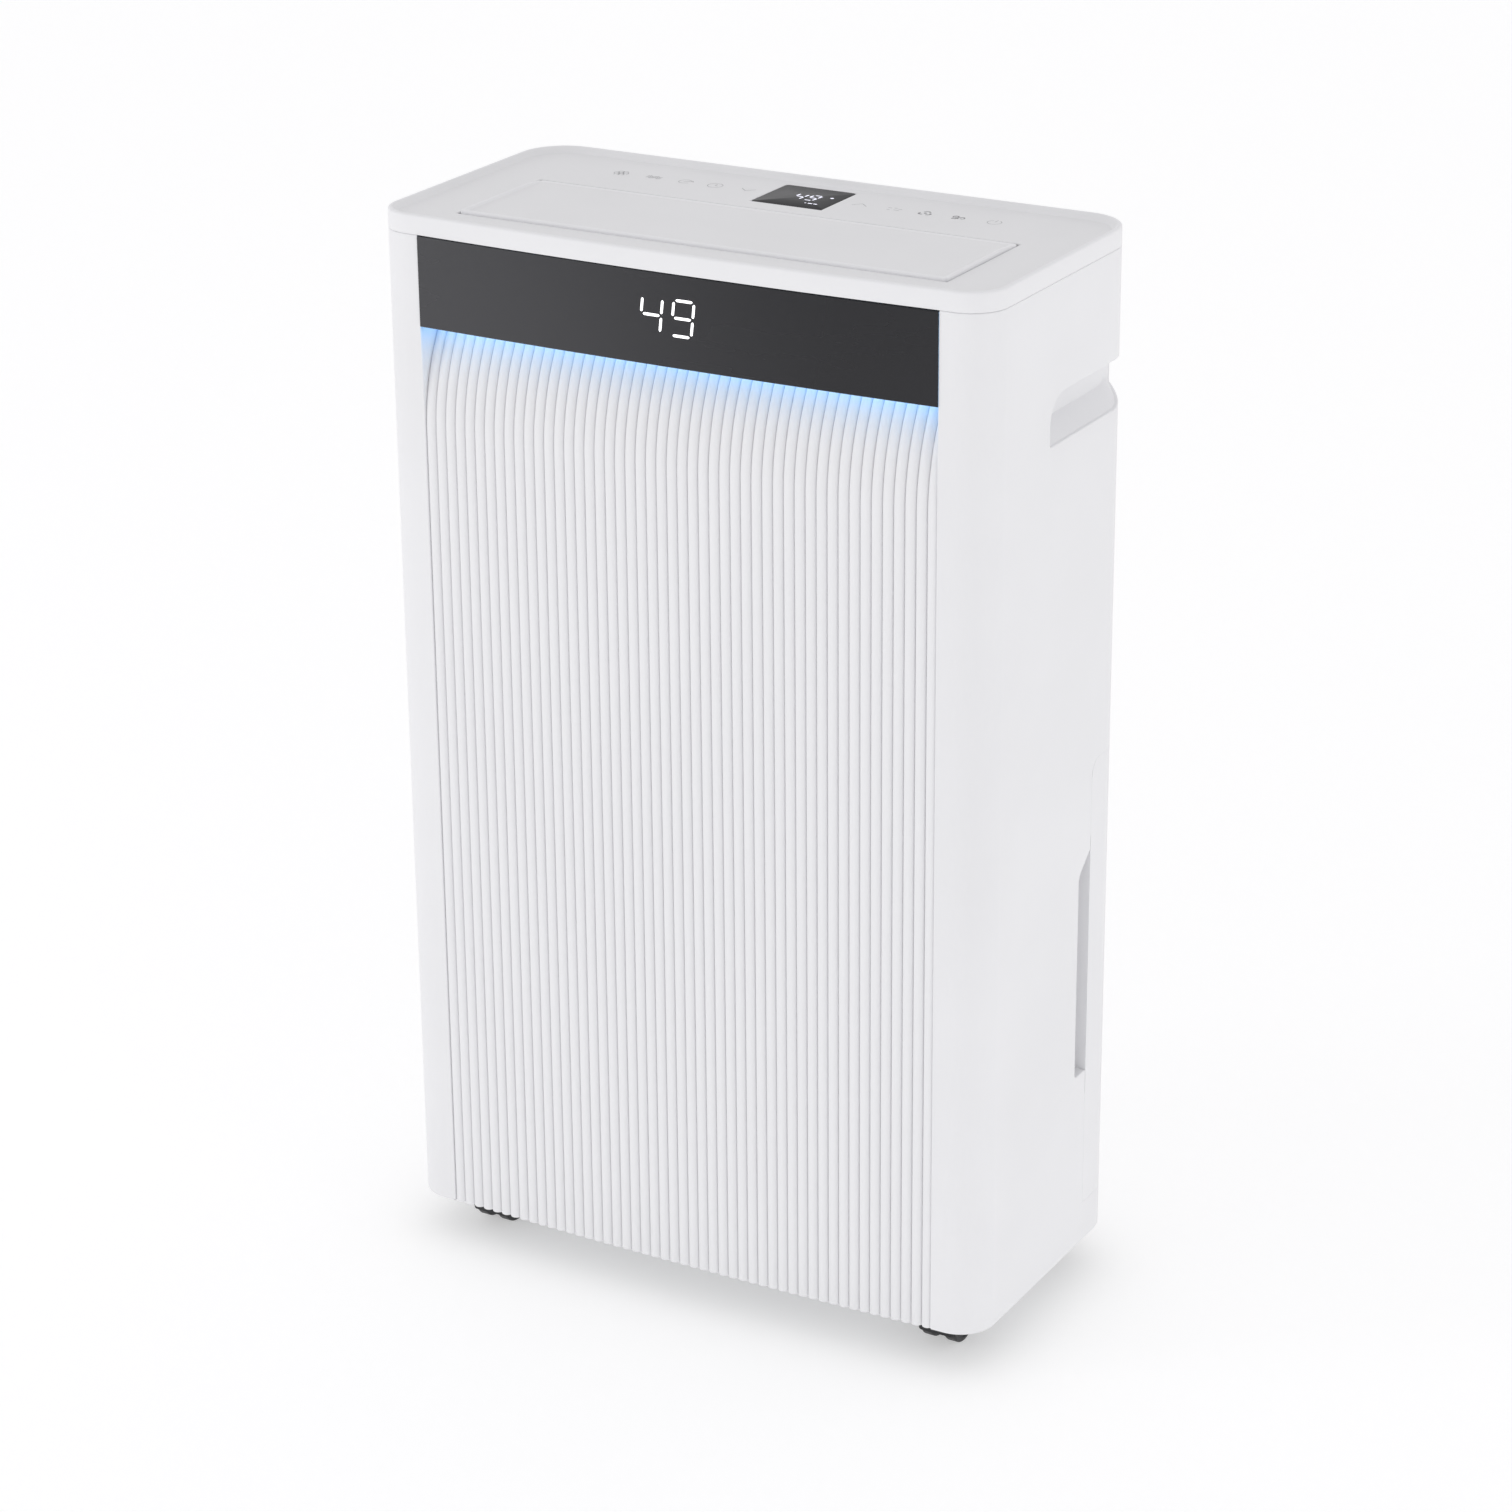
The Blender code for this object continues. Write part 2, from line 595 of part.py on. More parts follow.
def build_top_cover():
    """The dished top cover with the outlet and display openings and the hinge bosses."""
    cover = prism("top_cover", [plan_outline(0, LIP_CROWN)], Z_SEAM, Z_TOP,
                  finish="white_plastic")
    cut(cover, prism("dish", [plan_outline(DISH_RIM, LIP_CROWN)], Z_DISH, Z_TOP + SEPARATE))
    cut(cover, prism("underside", [plan_outline(WALL, LIP_CROWN)], Z_SEAM - SEPARATE, Z_PLATE))
    outlet = box("outlet_cutter", (-FLAP_HALF - FLAP_GAP, FLAP_Y0 - FLAP_GAP, Z_SEAM - SEPARATE),
                 (FLAP_HALF + FLAP_GAP, FLAP_Y1 + FLAP_REAR_GAP, Z_TOP + SEPARATE))
    window = box("window_cutter", (-WINDOW_HALF, Y_FRONT + WINDOW_FRONT, Z_SEAM - SEPARATE),
                 (WINDOW_HALF, Y_FRONT + WINDOW_FRONT + WINDOW_DEPTH, Z_TOP + SEPARATE))
    boss_start = FLAP_HALF + FLAP_GAP
    for side in (-1, 1):
        ends = sorted((side * (boss_start - 2 * MM), side * (boss_start + 6 * MM)))
        join(cover, box("hinge_boss", (ends[0], HINGE_Y - 4 * MM, BOSS_Z),
                        (ends[1], HINGE_Y + 4 * MM, Z_PLATE + 1 * MM)))
    cut(cover, outlet)
    cut(cover, window)
    reach = FLAP_HALF + HINGE_PIN_LENGTH + FIT
    cut(cover, rod("hinge_hole", HINGE_PIN + GAP, (-reach, HINGE_Y, HINGE_Z), reach, "X",
                   facets=12))


def build_outlet_flap():
    """The outlet flap with a bevelled edge and its two hinge pins."""
    flap = box("outlet_flap", (-FLAP_HALF, FLAP_Y0, Z_DISH - FLAP_THICK),
               (FLAP_HALF, FLAP_Y1, Z_DISH), "white_plastic")
    reach = FLAP_HALF + HINGE_PIN_LENGTH
    join(flap, rod("flap_pins", HINGE_PIN, (-reach, HINGE_Y, HINGE_Z), reach, "X", facets=12))
    flap.data.transform(Matrix.Translation((0, -HINGE_Y, -HINGE_Z)))
    flap.location = (0, HINGE_Y, HINGE_Z)


def build_top_display():
    """The black window in the top and the touch board beneath it."""
    clear = 0.2 * MM + GAP
    low = Y_FRONT + WINDOW_FRONT
    box("top_window", (-WINDOW_HALF + clear, low + clear, Z_DISH - WINDOW_THICK),
        (WINDOW_HALF - clear, low + WINDOW_DEPTH - clear, Z_DISH), "black_gloss")
    box("touch_board", (-126 * MM, low + 5 * MM, Z_PLATE - GAP - 1.6 * MM),
        (126 * MM, low + WINDOW_DEPTH - 4 * MM, Z_PLATE - GAP), "circuit_board")


def build_outlet_grille():
    """The fixed safety grille below the flap."""
    half = FLAP_HALF - 3 * MM
    front = SCROLL_FRONT + 1 * MM
    rear = SCROLL_REAR - 1 * MM
    grille = box("outlet_grille", (-half, front, OUTLET_GRILLE_TOP - OUTLET_GRILLE_THICK),
                 (half, rear, OUTLET_GRILLE_TOP), "white_plastic")
    count = 16
    pitch = (2 * half - 6 * MM) / count
    bar = 2.4 * MM
    slots = []
    for i in range(count):
        start = -half + 3 * MM + bar / 2 + pitch * i
        slots.append(((start, front + 5 * MM, Z_SEAM - SEPARATE),
                      (start + pitch - bar, rear - 5 * MM, Z_TOP)))
    cut(grille, many("outlet_slots", slots))


# ---------------------------------------------------------------- rear intake
def build_rear_grille():
    """The rear intake grille, the filter frame clipped behind it and the filter mesh."""
    half = GRILLE_HALF
    grille = box("rear_grille", (-half, GRILLE_Y, GRILLE_Z0), (half, Y_REAR, GRILLE_Z1),
                 "white_plastic")
    rows = 17
    margin = 12 * MM
    pitch = (GRILLE_Z1 - GRILLE_Z0 - 2 * margin) / rows
    bar = 5 * MM
    slots = []
    for row in range(rows):
        low = GRILLE_Z0 + margin + bar / 2 + pitch * row
        for left, right in ((-half + margin, -3 * MM), (3 * MM, half - margin)):
            slots.append(((left, 0, low), (right, Y_REAR + SEPARATE, low + pitch - bar)))
    cut(grille, many("intake_slots", slots))

    inset = 6 * MM
    rail = 7 * MM
    low = (-half + inset, FILTER_Y, GRILLE_Z0 + inset)
    high = (half - inset, GRILLE_Y - GAP, GRILLE_Z1 - inset)
    frame = box("filter_frame", low, high, "grey_plastic")
    slots = []
    for left, right in ((low[0] + rail, -rail / 2), (rail / 2, high[0] - rail)):
        slots.append(((left, 0, low[2] + rail), (right, Y_REAR + SEPARATE, high[2] - rail)))
    cut(frame, many("filter_windows", slots))
    mesh = box("filter_mesh", (low[0] + 2 * MM, FILTER_Y - GAP - 1 * MM, low[2] + 2 * MM),
               (high[0] - 2 * MM, FILTER_Y - GAP, high[2] - 2 * MM), "filter_mesh")


# ---------------------------------------------------------------- cooling circuit
def build_coil(name, y):
    """A finned coil block with its tube sheets proud at both ends."""
    coil = box(name, (-COIL_HALF, y, COIL_Z0), (COIL_HALF, y + COIL_THICK, COIL_Z1), "aluminium")
    count = 15
    pitch = 2 * (COIL_HALF - 6 * MM) / count
    slots = []
    for i in range(count):
        start = -COIL_HALF + 6 * MM + pitch * (i + 0.5) - 2 * MM
        slots.append(((start, y + COIL_THICK - 4 * MM, COIL_Z0 - SEPARATE),
                      (start + 4 * MM, y + COIL_THICK + SEPARATE, COIL_Z1 + SEPARATE)))
    cut(coil, many(name + "_fins", slots))


def build_drip_tray():
    """The drip tray under both coils, with its spout through the tank bay's roof."""
    low = (-COIL_HALF - 2 * MM, CONDENSER_Y - 2 * MM, TRAY_Z0)
    high = (COIL_HALF + 2 * MM, EVAPORATOR_Y + COIL_THICK + 1 * MM, COIL_Z0 - GAP)
    tray = box("drip_tray", low, high, "grey_plastic")
    wall = 1.5 * MM
    hollow = box("tray_hollow", (low[0] + wall, low[1] + wall, low[2] + wall),
                 (high[0] - wall, high[1] - wall, high[2] + SEPARATE))
    spout_end = TANK_Z1 - 4 * MM
    join(tray, rod("tray_spout", SPOUT_RADIUS, (0, SPOUT_Y, spout_end), TRAY_Z0 + 1 * MM))
    cut(tray, hollow)
    cut(tray, rod("spout_bore", SPOUT_RADIUS - 1.5 * MM, (0, SPOUT_Y, spout_end - SEPARATE),
                  COIL_Z1))


def build_compressor():
    """The rotary compressor on three rubber feet, with its terminal cover."""
    x, y, z = COMPRESSOR_X, COMPRESSOR_Y, COMPRESSOR_Z
    dome = 16 * MM
    profile = [(0, COMPRESSOR_H)]
    profile += [(COMPRESSOR_R * math.sin(a), COMPRESSOR_H - dome * (1 - math.cos(a)))
                for a in [math.radians(d) for d in (30, 60, 90)]]
    profile += [(COMPRESSOR_R, 4 * MM), (COMPRESSOR_R + 6 * MM, 4 * MM),
                (COMPRESSOR_R + 6 * MM, 0), (0, 0)]
    body = turned("compressor", profile, (x, y, z), "Z", "painted_steel", 32)
    join(body, rod("compressor_stub", 12 * MM, (x, y, z + COMPRESSOR_H - 6 * MM),
                   z + COMPRESSOR_H + 7 * MM, facets=20))
    turned("terminal_cover", [(0, 9 * MM), (14 * MM, 9 * MM), (16 * MM, 0), (0, 0)],
           (x, y, z + COMPRESSOR_H + 7 * MM + GAP), "Z", "black_plastic", 20)
    base_top = Z_BASE + BASE_THICK + GAP
    for index, degrees in enumerate((90, 210, 330)):
        a = math.radians(degrees)
        fx = x + FOOT_CIRCLE * math.cos(a)
        fy = y + FOOT_CIRCLE * math.sin(a)
        height = z - GAP - base_top
        turned("rubber_foot_%d" % (index + 1),
               [(0, height), (FOOT_RADIUS, height), (FOOT_RADIUS - 1.5 * MM, height * 0.66),
                (FOOT_RADIUS - 1.5 * MM, height * 0.33), (FOOT_RADIUS, 0), (0, 0)],
               (fx, fy, base_top), "Z", "rubber", 16)


def build_pipes():
    """Suction and discharge pipes between the compressor and the two coils."""
    top = COMPRESSOR_Z + COMPRESSOR_H
    side = -COIL_HALF - GAP
    start_x = COMPRESSOR_X - 26 * MM
    for name, y, out, end_y, end_z in (
            ("suction_pipe", COMPRESSOR_Y - 22 * MM, 18 * MM, EVAPORATOR_Y + COIL_THICK / 2,
             COIL_Z0 + 30 * MM),
            ("discharge_pipe", COMPRESSOR_Y + 14 * MM, 30 * MM, CONDENSER_Y + COIL_THICK / 2,
             COIL_Z1 - 30 * MM)):
        rise = -COIL_HALF - out
        route = [(start_x, y, top), (start_x, y, top + 26 * MM), (rise, y, top + 26 * MM),
                 (rise, y, end_z), (rise, end_y, end_z), (side, end_y, end_z)]
        tube(name, PIPE_RADIUS, rounded_route(route, 9 * MM), "copper")


# ---------------------------------------------------------------- fan
def scroll_outline(grow):
    """Fan housing outline in x and z: round below, flaring to the outlet above."""
    radius = SCROLL_RADIUS + grow
    half = FLAP_HALF - 3 * MM + grow
    loop = arc((0, FAN_Z), radius, 180, 360, 14)
    loop += [(radius + 8 * MM, FAN_Z + 60 * MM), (half, SCROLL_TOP - 20 * MM), (half, SCROLL_TOP)]
    loop += [(-half, SCROLL_TOP), (-half, SCROLL_TOP - 20 * MM),
             (-radius - 8 * MM, FAN_Z + 60 * MM)]
    return loop


def build_fan():
    """The fan housing, the drum wheel and the motor in front of it."""
    scroll = prism("fan_housing", [scroll_outline(0)], SCROLL_FRONT, SCROLL_REAR, "Y",
                   "grey_plastic")
    inner = scroll_outline(-SCROLL_WALL)
    inner = [(x, z + (SEPARATE if z > SCROLL_TOP - 1 * MM else 0)) for x, z in inner]
    cut(scroll, prism("scroll_hollow", [inner], SCROLL_FRONT + SCROLL_WALL,
                      SCROLL_REAR - SCROLL_WALL, "Y"))
    cut(scroll, rod("scroll_inlet", FAN_RADIUS - 10 * MM, (0, SCROLL_REAR - 10 * MM, FAN_Z),
                    SCROLL_REAR + SEPARATE, "Y", facets=32))

    plate = 3 * MM
    drum = 3 * MM
    profile = [(FAN_RADIUS - drum, FAN_WIDTH), (FAN_RADIUS, FAN_WIDTH), (FAN_RADIUS, 0),
               (HUB_BORE, 0), (HUB_BORE, 12 * MM), (HUB_BORE + 7 * MM, 12 * MM),
               (HUB_BORE + 7 * MM, plate), (FAN_RADIUS - drum, plate),
               (FAN_RADIUS - drum, FAN_WIDTH)]
    wheel = turned("fan_wheel", profile, (0, FAN_Y0, FAN_Z), "Y", "black_plastic", 40)
    blades = 20
    bm = bmesh.new()
    for i in range(blades):
        one = bmesh.new()
        box_bm((FAN_RADIUS - 8 * MM, 6 * MM, -8 * MM),
               (FAN_RADIUS + 8 * MM, FAN_WIDTH - 5 * MM, 8 * MM), one)
        turn = Matrix.Rotation(math.tau * (i + 0.5) / blades, 4, "Y")
        bmesh.ops.transform(one, verts=one.verts, matrix=turn)
        scratch = bpy.data.meshes.new("gap")
        one.to_mesh(scratch)
        one.free()
        bm.from_mesh(scratch)
    bmesh.ops.translate(bm, verts=bm.verts, vec=(0, FAN_Y0, FAN_Z))
    cut(wheel, place("blade_gaps", mesh_of(bm, "blade_gaps"), None))

    start = SCROLL_FRONT + SCROLL_WALL + GAP
    depth = FAN_Y0 - 3 * MM - start
    shaft = HUB_BORE - FIT / 2
    turned("fan_motor", [(0, depth + 12 * MM), (shaft, depth + 12 * MM), (shaft, depth),
                         (MOTOR_RADIUS - 6 * MM, depth), (MOTOR_RADIUS, depth * 0.7),
                         (MOTOR_RADIUS, 0), (0, 0)],
           (0, start, FAN_Z), "Y", "zinc_steel", 28)


# ---------------------------------------------------------------- electrics
def build_electrics():
    """Control box, run capacitor, humidity sensor, tank sensor and the cord gland."""
    base_top = Z_BASE + BASE_THICK + GAP
    low = (36 * MM, Y_FRONT + 14 * MM, base_top + 60 * MM)
    control = box("control_box", low, (150 * MM, Y_FRONT + 110 * MM, base_top + 190 * MM),
                  "grey_plastic")
    step = control.modifiers.new("edges", "BEVEL")
    step.width = 3 * MM
    step.segments = 1
    rod("run_capacitor", 16 * MM, (14 * MM, Y_FRONT + 96 * MM, base_top), base_top + 82 * MM,
        finish="zinc_steel", facets=20)
    box("humidity_sensor", (GRILLE_HALF - 14 * MM, FILTER_Y - 14 * MM, GRILLE_Z1 - 12 * MM),
        (GRILLE_HALF - 4 * MM, FILTER_Y - 3 * MM, GRILLE_Z1 + 4 * MM), "circuit_board")
    box("tank_sensor", (120 * MM, BAY_FRONT - GAP - 8 * MM, TANK_Z1 - 40 * MM),
        (140 * MM, BAY_FRONT - GAP, TANK_Z1 - 16 * MM), "black_plastic")
    flange = 3 * MM
    bore = GLAND_BODY - 2.2 * MM
    length = flange + GAP + WALL
    turned("cord_gland", [(bore, length), (GLAND_BODY, length), (GLAND_BODY, flange),
                          (GLAND_BODY + 3 * MM, flange), (GLAND_BODY + 3 * MM, 0), (bore, 0),
                          (bore, length)],
           (GLAND_X, Y_REAR - length, GLAND_Z), "Y", "black_plastic", 20)


# ---------------------------------------------------------------- base, drain, screws


def build_base():
    """The base plate inside the cabinet's lower edge, with four holes for the casters."""
    inset = WALL + GAP
    front = Y_FRONT + COLUMN_RETURN + GAP
    half = HALF_WIDTH - inset
    rr = REAR_CORNER - inset
    panel_back = Y_FRONT + RIB_HEIGHT + RIB_BASE + GAP
    inner = PANEL_HALF - GAP
    loop = [(-inner, panel_back), (inner, panel_back), (inner, front)]
    loop += [(half, front)]
    loop += arc((half - rr, Y_REAR - inset - rr), rr, 0, 90, 6)
    loop += arc((-half + rr, Y_REAR - inset - rr), rr, 90, 180, 6)
    loop += [(-half, front), (-inner, front)]
    base = prism("base_pan", [loop], Z_BASE, Z_BASE + BASE_THICK, finish="grey_plastic")
    for x, y, _ in CASTER_SPOTS:
        cut(base, rod("caster_hole", SOCKET_RADIUS, (x, y, 0), Z_BASE + SEPARATE, facets=16))


def build_drain():
    """The continuous drain spout at the rear and its plug."""
    y = Y_REAR - 14 * MM
    spout = turned("drain_spout", [(5 * MM, 12 * MM), (DRAIN_RADIUS - 1.2 * MM, 12 * MM),
                                   (DRAIN_RADIUS - 1.2 * MM, 0), (5 * MM, 0), (5 * MM, 12 * MM)],
                   (-GLAND_X, y, GLAND_Z), "Y", "white_plastic", 20)
    turned("drain_cap", [(0, 3.6 * MM), (DRAIN_RADIUS - 0.8 * MM, 3.6 * MM),
                         (DRAIN_RADIUS - 0.8 * MM, 2 * MM + GAP), (4.4 * MM, 2 * MM + GAP),
                         (4.4 * MM, -6 * MM), (0, -6 * MM)],
           (-GLAND_X, y + 10 * MM, GLAND_Z), "Y", "black_plastic", 20)


def build_screws():
    """The four rear screws, flush in their seats."""
    for i, z in enumerate(SCREW_Z):
        for side, word in ((-1, "left"), (1, "right")):
            name = "rear_screw_%s_%s" % ("lower" if i == 0 else "upper", word)
            turned(name, [(0, SCREW_LENGTH), (SCREW_HEAD, SCREW_LENGTH),
                          (SCREW_HEAD, SCREW_LENGTH - SCREW_SINK + GAP),
                          (SCREW_SHANK, SCREW_LENGTH - SCREW_SINK + GAP),
                          (SCREW_SHANK, 0), (0, 0)],
                   (side * SCREW_X, Y_REAR - SCREW_LENGTH, z), "Y", "zinc_steel", 12)


# ---------------------------------------------------------------- casters
def build_casters():
    """Four twin-wheel casters: a socket in the base, a swivelling hood and a wheel pair."""
    socket_top = SOCKET_TOP
    base_top = Z_BASE + BASE_THICK + GAP
    wall = SOCKET_WALL
    half_pair = WHEEL_SPACE / 2 + WHEEL_WIDTH
    for x, y, word in CASTER_SPOTS:
        stem_hole = STEM_RADIUS + GAP
        outer = SOCKET_RADIUS
        turned("caster_socket_" + word,
               [(stem_hole, socket_top + wall), (outer, socket_top + wall),
                (outer, base_top + wall), (outer + SOCKET_FLANGE, base_top + wall),
                (outer + SOCKET_FLANGE, base_top), (outer - wall, base_top),
                (outer - wall, socket_top), (stem_hole, socket_top),
                (stem_hole, socket_top + wall)],
               (x, y, 0), "Z", "grey_plastic", 16)

        axle_y = y + CASTER_TRAIL
        drop = math.degrees(math.asin((WHEEL_RADIUS - HOOD_LOW) / HOOD_RADIUS))
        shell = arc((axle_y, WHEEL_RADIUS), HOOD_RADIUS, -drop, 180 + drop, 10)
        shell += arc((axle_y, WHEEL_RADIUS), HOOD_RADIUS - HOOD_WALL, 180 + drop, -drop, 10)
        hood = prism("caster_hood_" + word, [shell], x - half_pair, x + half_pair, "X",
                     "black_plastic")
        web = arc((axle_y, WHEEL_RADIUS), HOOD_RADIUS - HOOD_WALL / 2, 5 - drop, 175 + drop, 8)
        join(hood, prism("caster_web", [web], x - WHEEL_SPACE / 2 + FIT / 2,
                         x + WHEEL_SPACE / 2 - FIT / 2, "X"))
        join(hood, rod("caster_stem", STEM_RADIUS, (x, y, WHEEL_RADIUS + 9 * MM),
                       socket_top + wall + 1.5 * MM, facets=12))
        cut(hood, rod("axle_hole", AXLE_RADIUS + GAP, (x - SEPARATE, axle_y, WHEEL_RADIUS),
                      x + SEPARATE, "X", facets=12))
        hood.data.transform(Matrix.Translation((-x, -y, 0)))
        hood.location = (x, y, 0)

        half = WHEEL_SPACE / 2
        flat = WHEEL_RADIUS / math.cos(math.pi / WHEEL_FACETS)
        wheels = turned("caster_wheels_" + word,
                        [(0, half_pair), (flat, half_pair), (flat, half), (AXLE_RADIUS, half),
                         (AXLE_RADIUS, -half), (flat, -half), (flat, -half_pair),
                         (0, -half_pair)],
                        (x, axle_y, WHEEL_RADIUS), "X", "black_plastic", WHEEL_FACETS,
                        math.pi / WHEEL_FACETS)
        wheels.data.set_sharp_from_angle(angle=math.radians(15))


# ---------------------------------------------------------------- tank bay and tank
def build_tank_bay():
    """The bulkhead round the tank, between the finger slots: one bent plate."""
    wall = BAY_WALL
    floor_top = TANK_Z0 - GAP
    roof = BAY_ROOF
    rear = Y_REAR - WALL - GAP
    low = floor_top - wall
    loop = [(BAY_FRONT, low), (rear - 24 * MM, low), (rear - 24 * MM, floor_top),
            (BAY_FRONT + wall, floor_top), (BAY_FRONT + wall, roof), (rear - 24 * MM, roof),
            (rear - 24 * MM, roof + wall), (BAY_FRONT, roof + wall)]
    half = HALF_WIDTH - TANK_SLOT_DEPTH - GAP
    bay = prism("tank_bay", [loop], -half, half, "X", "grey_plastic")
    cut(bay, rod("roof_hole", SPOUT_RADIUS + FIT, (0, SPOUT_Y, TANK_Z1 - 20 * MM),
                 TANK_Z1 + SEPARATE))


def build_tank():
    """The water tank, its lid, the level window and the float under the lid."""
    half = HALF_WIDTH
    low, high = TANK_Z0, TANK_Z1
    rr = REAR_CORNER
    loop = [(-half, TANK_Y + GAP), (half, TANK_Y + GAP)]
    loop += arc((half - rr, Y_REAR - rr), rr, 0, 90, 6) + arc((-half + rr, Y_REAR - rr), rr, 90, 180, 6)
    tank = prism("tank_body", [loop], low, high, finish="white_plastic")
    nose = TANK_NOSE
    corner = [(TANK_Y - SEPARATE, high - nose), (TANK_Y + GAP, high - nose)]
    corner += arc((TANK_Y + GAP + nose, high - nose), nose, 180, 90, 4)
    corner += [(TANK_Y + GAP + nose, high + SEPARATE), (TANK_Y - SEPARATE, high + SEPARATE)]
    cut(tank, prism("tank_nose", [corner], -half - SEPARATE, half + SEPARATE, "X"))
    wall = TANK_WALL
    inner = [(-half + wall, TANK_Y + GAP + wall), (half - wall, TANK_Y + GAP + wall)]
    inner += arc((half - rr, Y_REAR - rr), rr - wall, 0, 90, 6)
    inner += arc((-half + rr, Y_REAR - rr), rr - wall, 90, 180, 6)
    cut(tank, prism("tank_hollow", [inner], low + wall, high + SEPARATE))
    window = (-7 * MM, 7 * MM, low + 40 * MM, high - 50 * MM)
    cut(tank, box("level_hole", (window[0], Y_REAR - wall - 5 * MM, window[2]),
                  (window[1], Y_REAR + SEPARATE, window[3])))
    box("level_window", (window[0] + GAP, Y_REAR - wall, window[2] + GAP),
        (window[1] - GAP, Y_REAR - 0.4 * MM, window[3] - GAP), "clear_plastic")

    lid_top = high - nose - 0.5 * MM
    lid_loop = [(-half + wall + GAP, TANK_Y + 2 * GAP + wall),
                (half - wall - GAP, TANK_Y + 2 * GAP + wall)]
    lid_loop += arc((half - rr, Y_REAR - rr), rr - wall - GAP, 0, 90, 6)
    lid_loop += arc((-half + rr, Y_REAR - rr), rr - wall - GAP, 90, 180, 6)
    lid = prism("tank_lid", [lid_loop], lid_top - 2 * MM, lid_top, finish="clear_plastic")
    cut(lid, rod("lid_inlet", SPOUT_RADIUS + 4 * MM, (0, SPOUT_Y, low), high + SEPARATE))

    arm = 2.5 * MM
    post = arm + FIT / 2
    reach = post + 3 * MM
    for low_y, high_y in ((-reach, -post), (post, reach)):
        join(lid, box("float_post", (FLOAT_PIVOT_X - 4 * MM, FLOAT_Y + low_y,
                                     FLOAT_PIVOT_Z - 4 * MM),
                      (FLOAT_PIVOT_X + 4 * MM, FLOAT_Y + high_y, lid_top - 1 * MM)))
    cut(lid, rod("pin_hole", FLOAT_PIN + GAP, (FLOAT_PIVOT_X, FLOAT_Y - SEPARATE / 2,
                                               FLOAT_PIVOT_Z),
                 FLOAT_Y + SEPARATE / 2, "Y", facets=12))
    pivot = (FLOAT_PIVOT_X, FLOAT_Y, FLOAT_PIVOT_Z)
    level = box("tank_float", (18 * MM - 40 * MM, FLOAT_Y - 11 * MM, FLOAT_PIVOT_Z - 30 * MM),
                (18 * MM, FLOAT_Y + 11 * MM, FLOAT_PIVOT_Z - 12 * MM), "foam")
    join(level, box("float_drop", (10 * MM, FLOAT_Y - arm, FLOAT_PIVOT_Z - 14 * MM),
                    (15 * MM, FLOAT_Y + arm, FLOAT_PIVOT_Z + arm / 2)))
    join(level, box("float_arm", (10 * MM, FLOAT_Y - arm, FLOAT_PIVOT_Z - arm / 2),
                    (FLOAT_PIVOT_X + 2 * MM, FLOAT_Y + arm, FLOAT_PIVOT_Z + arm / 2)))
    join(level, rod("float_pin", FLOAT_PIN, (FLOAT_PIVOT_X, FLOAT_Y - reach, FLOAT_PIVOT_Z),
                    FLOAT_Y + reach, "Y", facets=12))
    level.data.transform(Matrix.Translation(-Vector(pivot)))
    level.location = pivot


# ---------------------------------------------------------------- build everything
def main():
    """Builds each sub-assembly in turn."""
    build_cabinet()
    build_grip_liners()
    build_front_panel()
    build_display()
    build_top_cover()
    build_outlet_flap()
    build_top_display()
    build_outlet_grille()
    build_rear_grille()
    build_coil("evaporator_coil", EVAPORATOR_Y)
    build_coil("condenser_coil", CONDENSER_Y)
    build_drip_tray()
    build_compressor()
    build_pipes()
    build_fan()
    build_electrics()
    build_base()
    build_drain()
    build_screws()
    build_casters()
    build_tank_bay()
    build_tank()


main()
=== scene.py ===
"""Visual model of a free-standing dehumidifier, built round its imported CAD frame.

Metres, +Z up, the ribbed front faces -Y and the floor is at Z = 0.
"""

import json
import logging
import math
from collections.abc import Callable, Sequence
from dataclasses import dataclass, field
from enum import Enum

import bpy
import numpy as np
from mathutils import Matrix, Vector


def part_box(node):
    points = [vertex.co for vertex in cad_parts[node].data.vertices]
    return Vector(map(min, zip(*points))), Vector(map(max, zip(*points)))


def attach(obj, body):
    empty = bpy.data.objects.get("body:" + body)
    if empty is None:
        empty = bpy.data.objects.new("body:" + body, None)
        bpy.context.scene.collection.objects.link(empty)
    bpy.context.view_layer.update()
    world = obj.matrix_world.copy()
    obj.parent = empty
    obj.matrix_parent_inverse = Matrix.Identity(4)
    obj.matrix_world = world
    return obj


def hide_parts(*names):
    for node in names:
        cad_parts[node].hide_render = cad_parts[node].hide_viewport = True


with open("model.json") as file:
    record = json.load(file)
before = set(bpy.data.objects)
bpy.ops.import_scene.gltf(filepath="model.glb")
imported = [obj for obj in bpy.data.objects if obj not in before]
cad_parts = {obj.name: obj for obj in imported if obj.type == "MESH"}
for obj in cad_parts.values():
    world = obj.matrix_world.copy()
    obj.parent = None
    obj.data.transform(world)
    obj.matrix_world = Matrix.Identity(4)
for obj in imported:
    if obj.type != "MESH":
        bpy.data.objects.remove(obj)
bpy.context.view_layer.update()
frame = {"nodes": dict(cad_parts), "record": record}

LOG = logging.getLogger("dehumidifier")
MM = 0.001
NEAR = 1e-6  # lengths that differ by less are taken as equal
WELD = 2e-6  # points on the same step of this size become one
Vec = tuple[float, float, float]


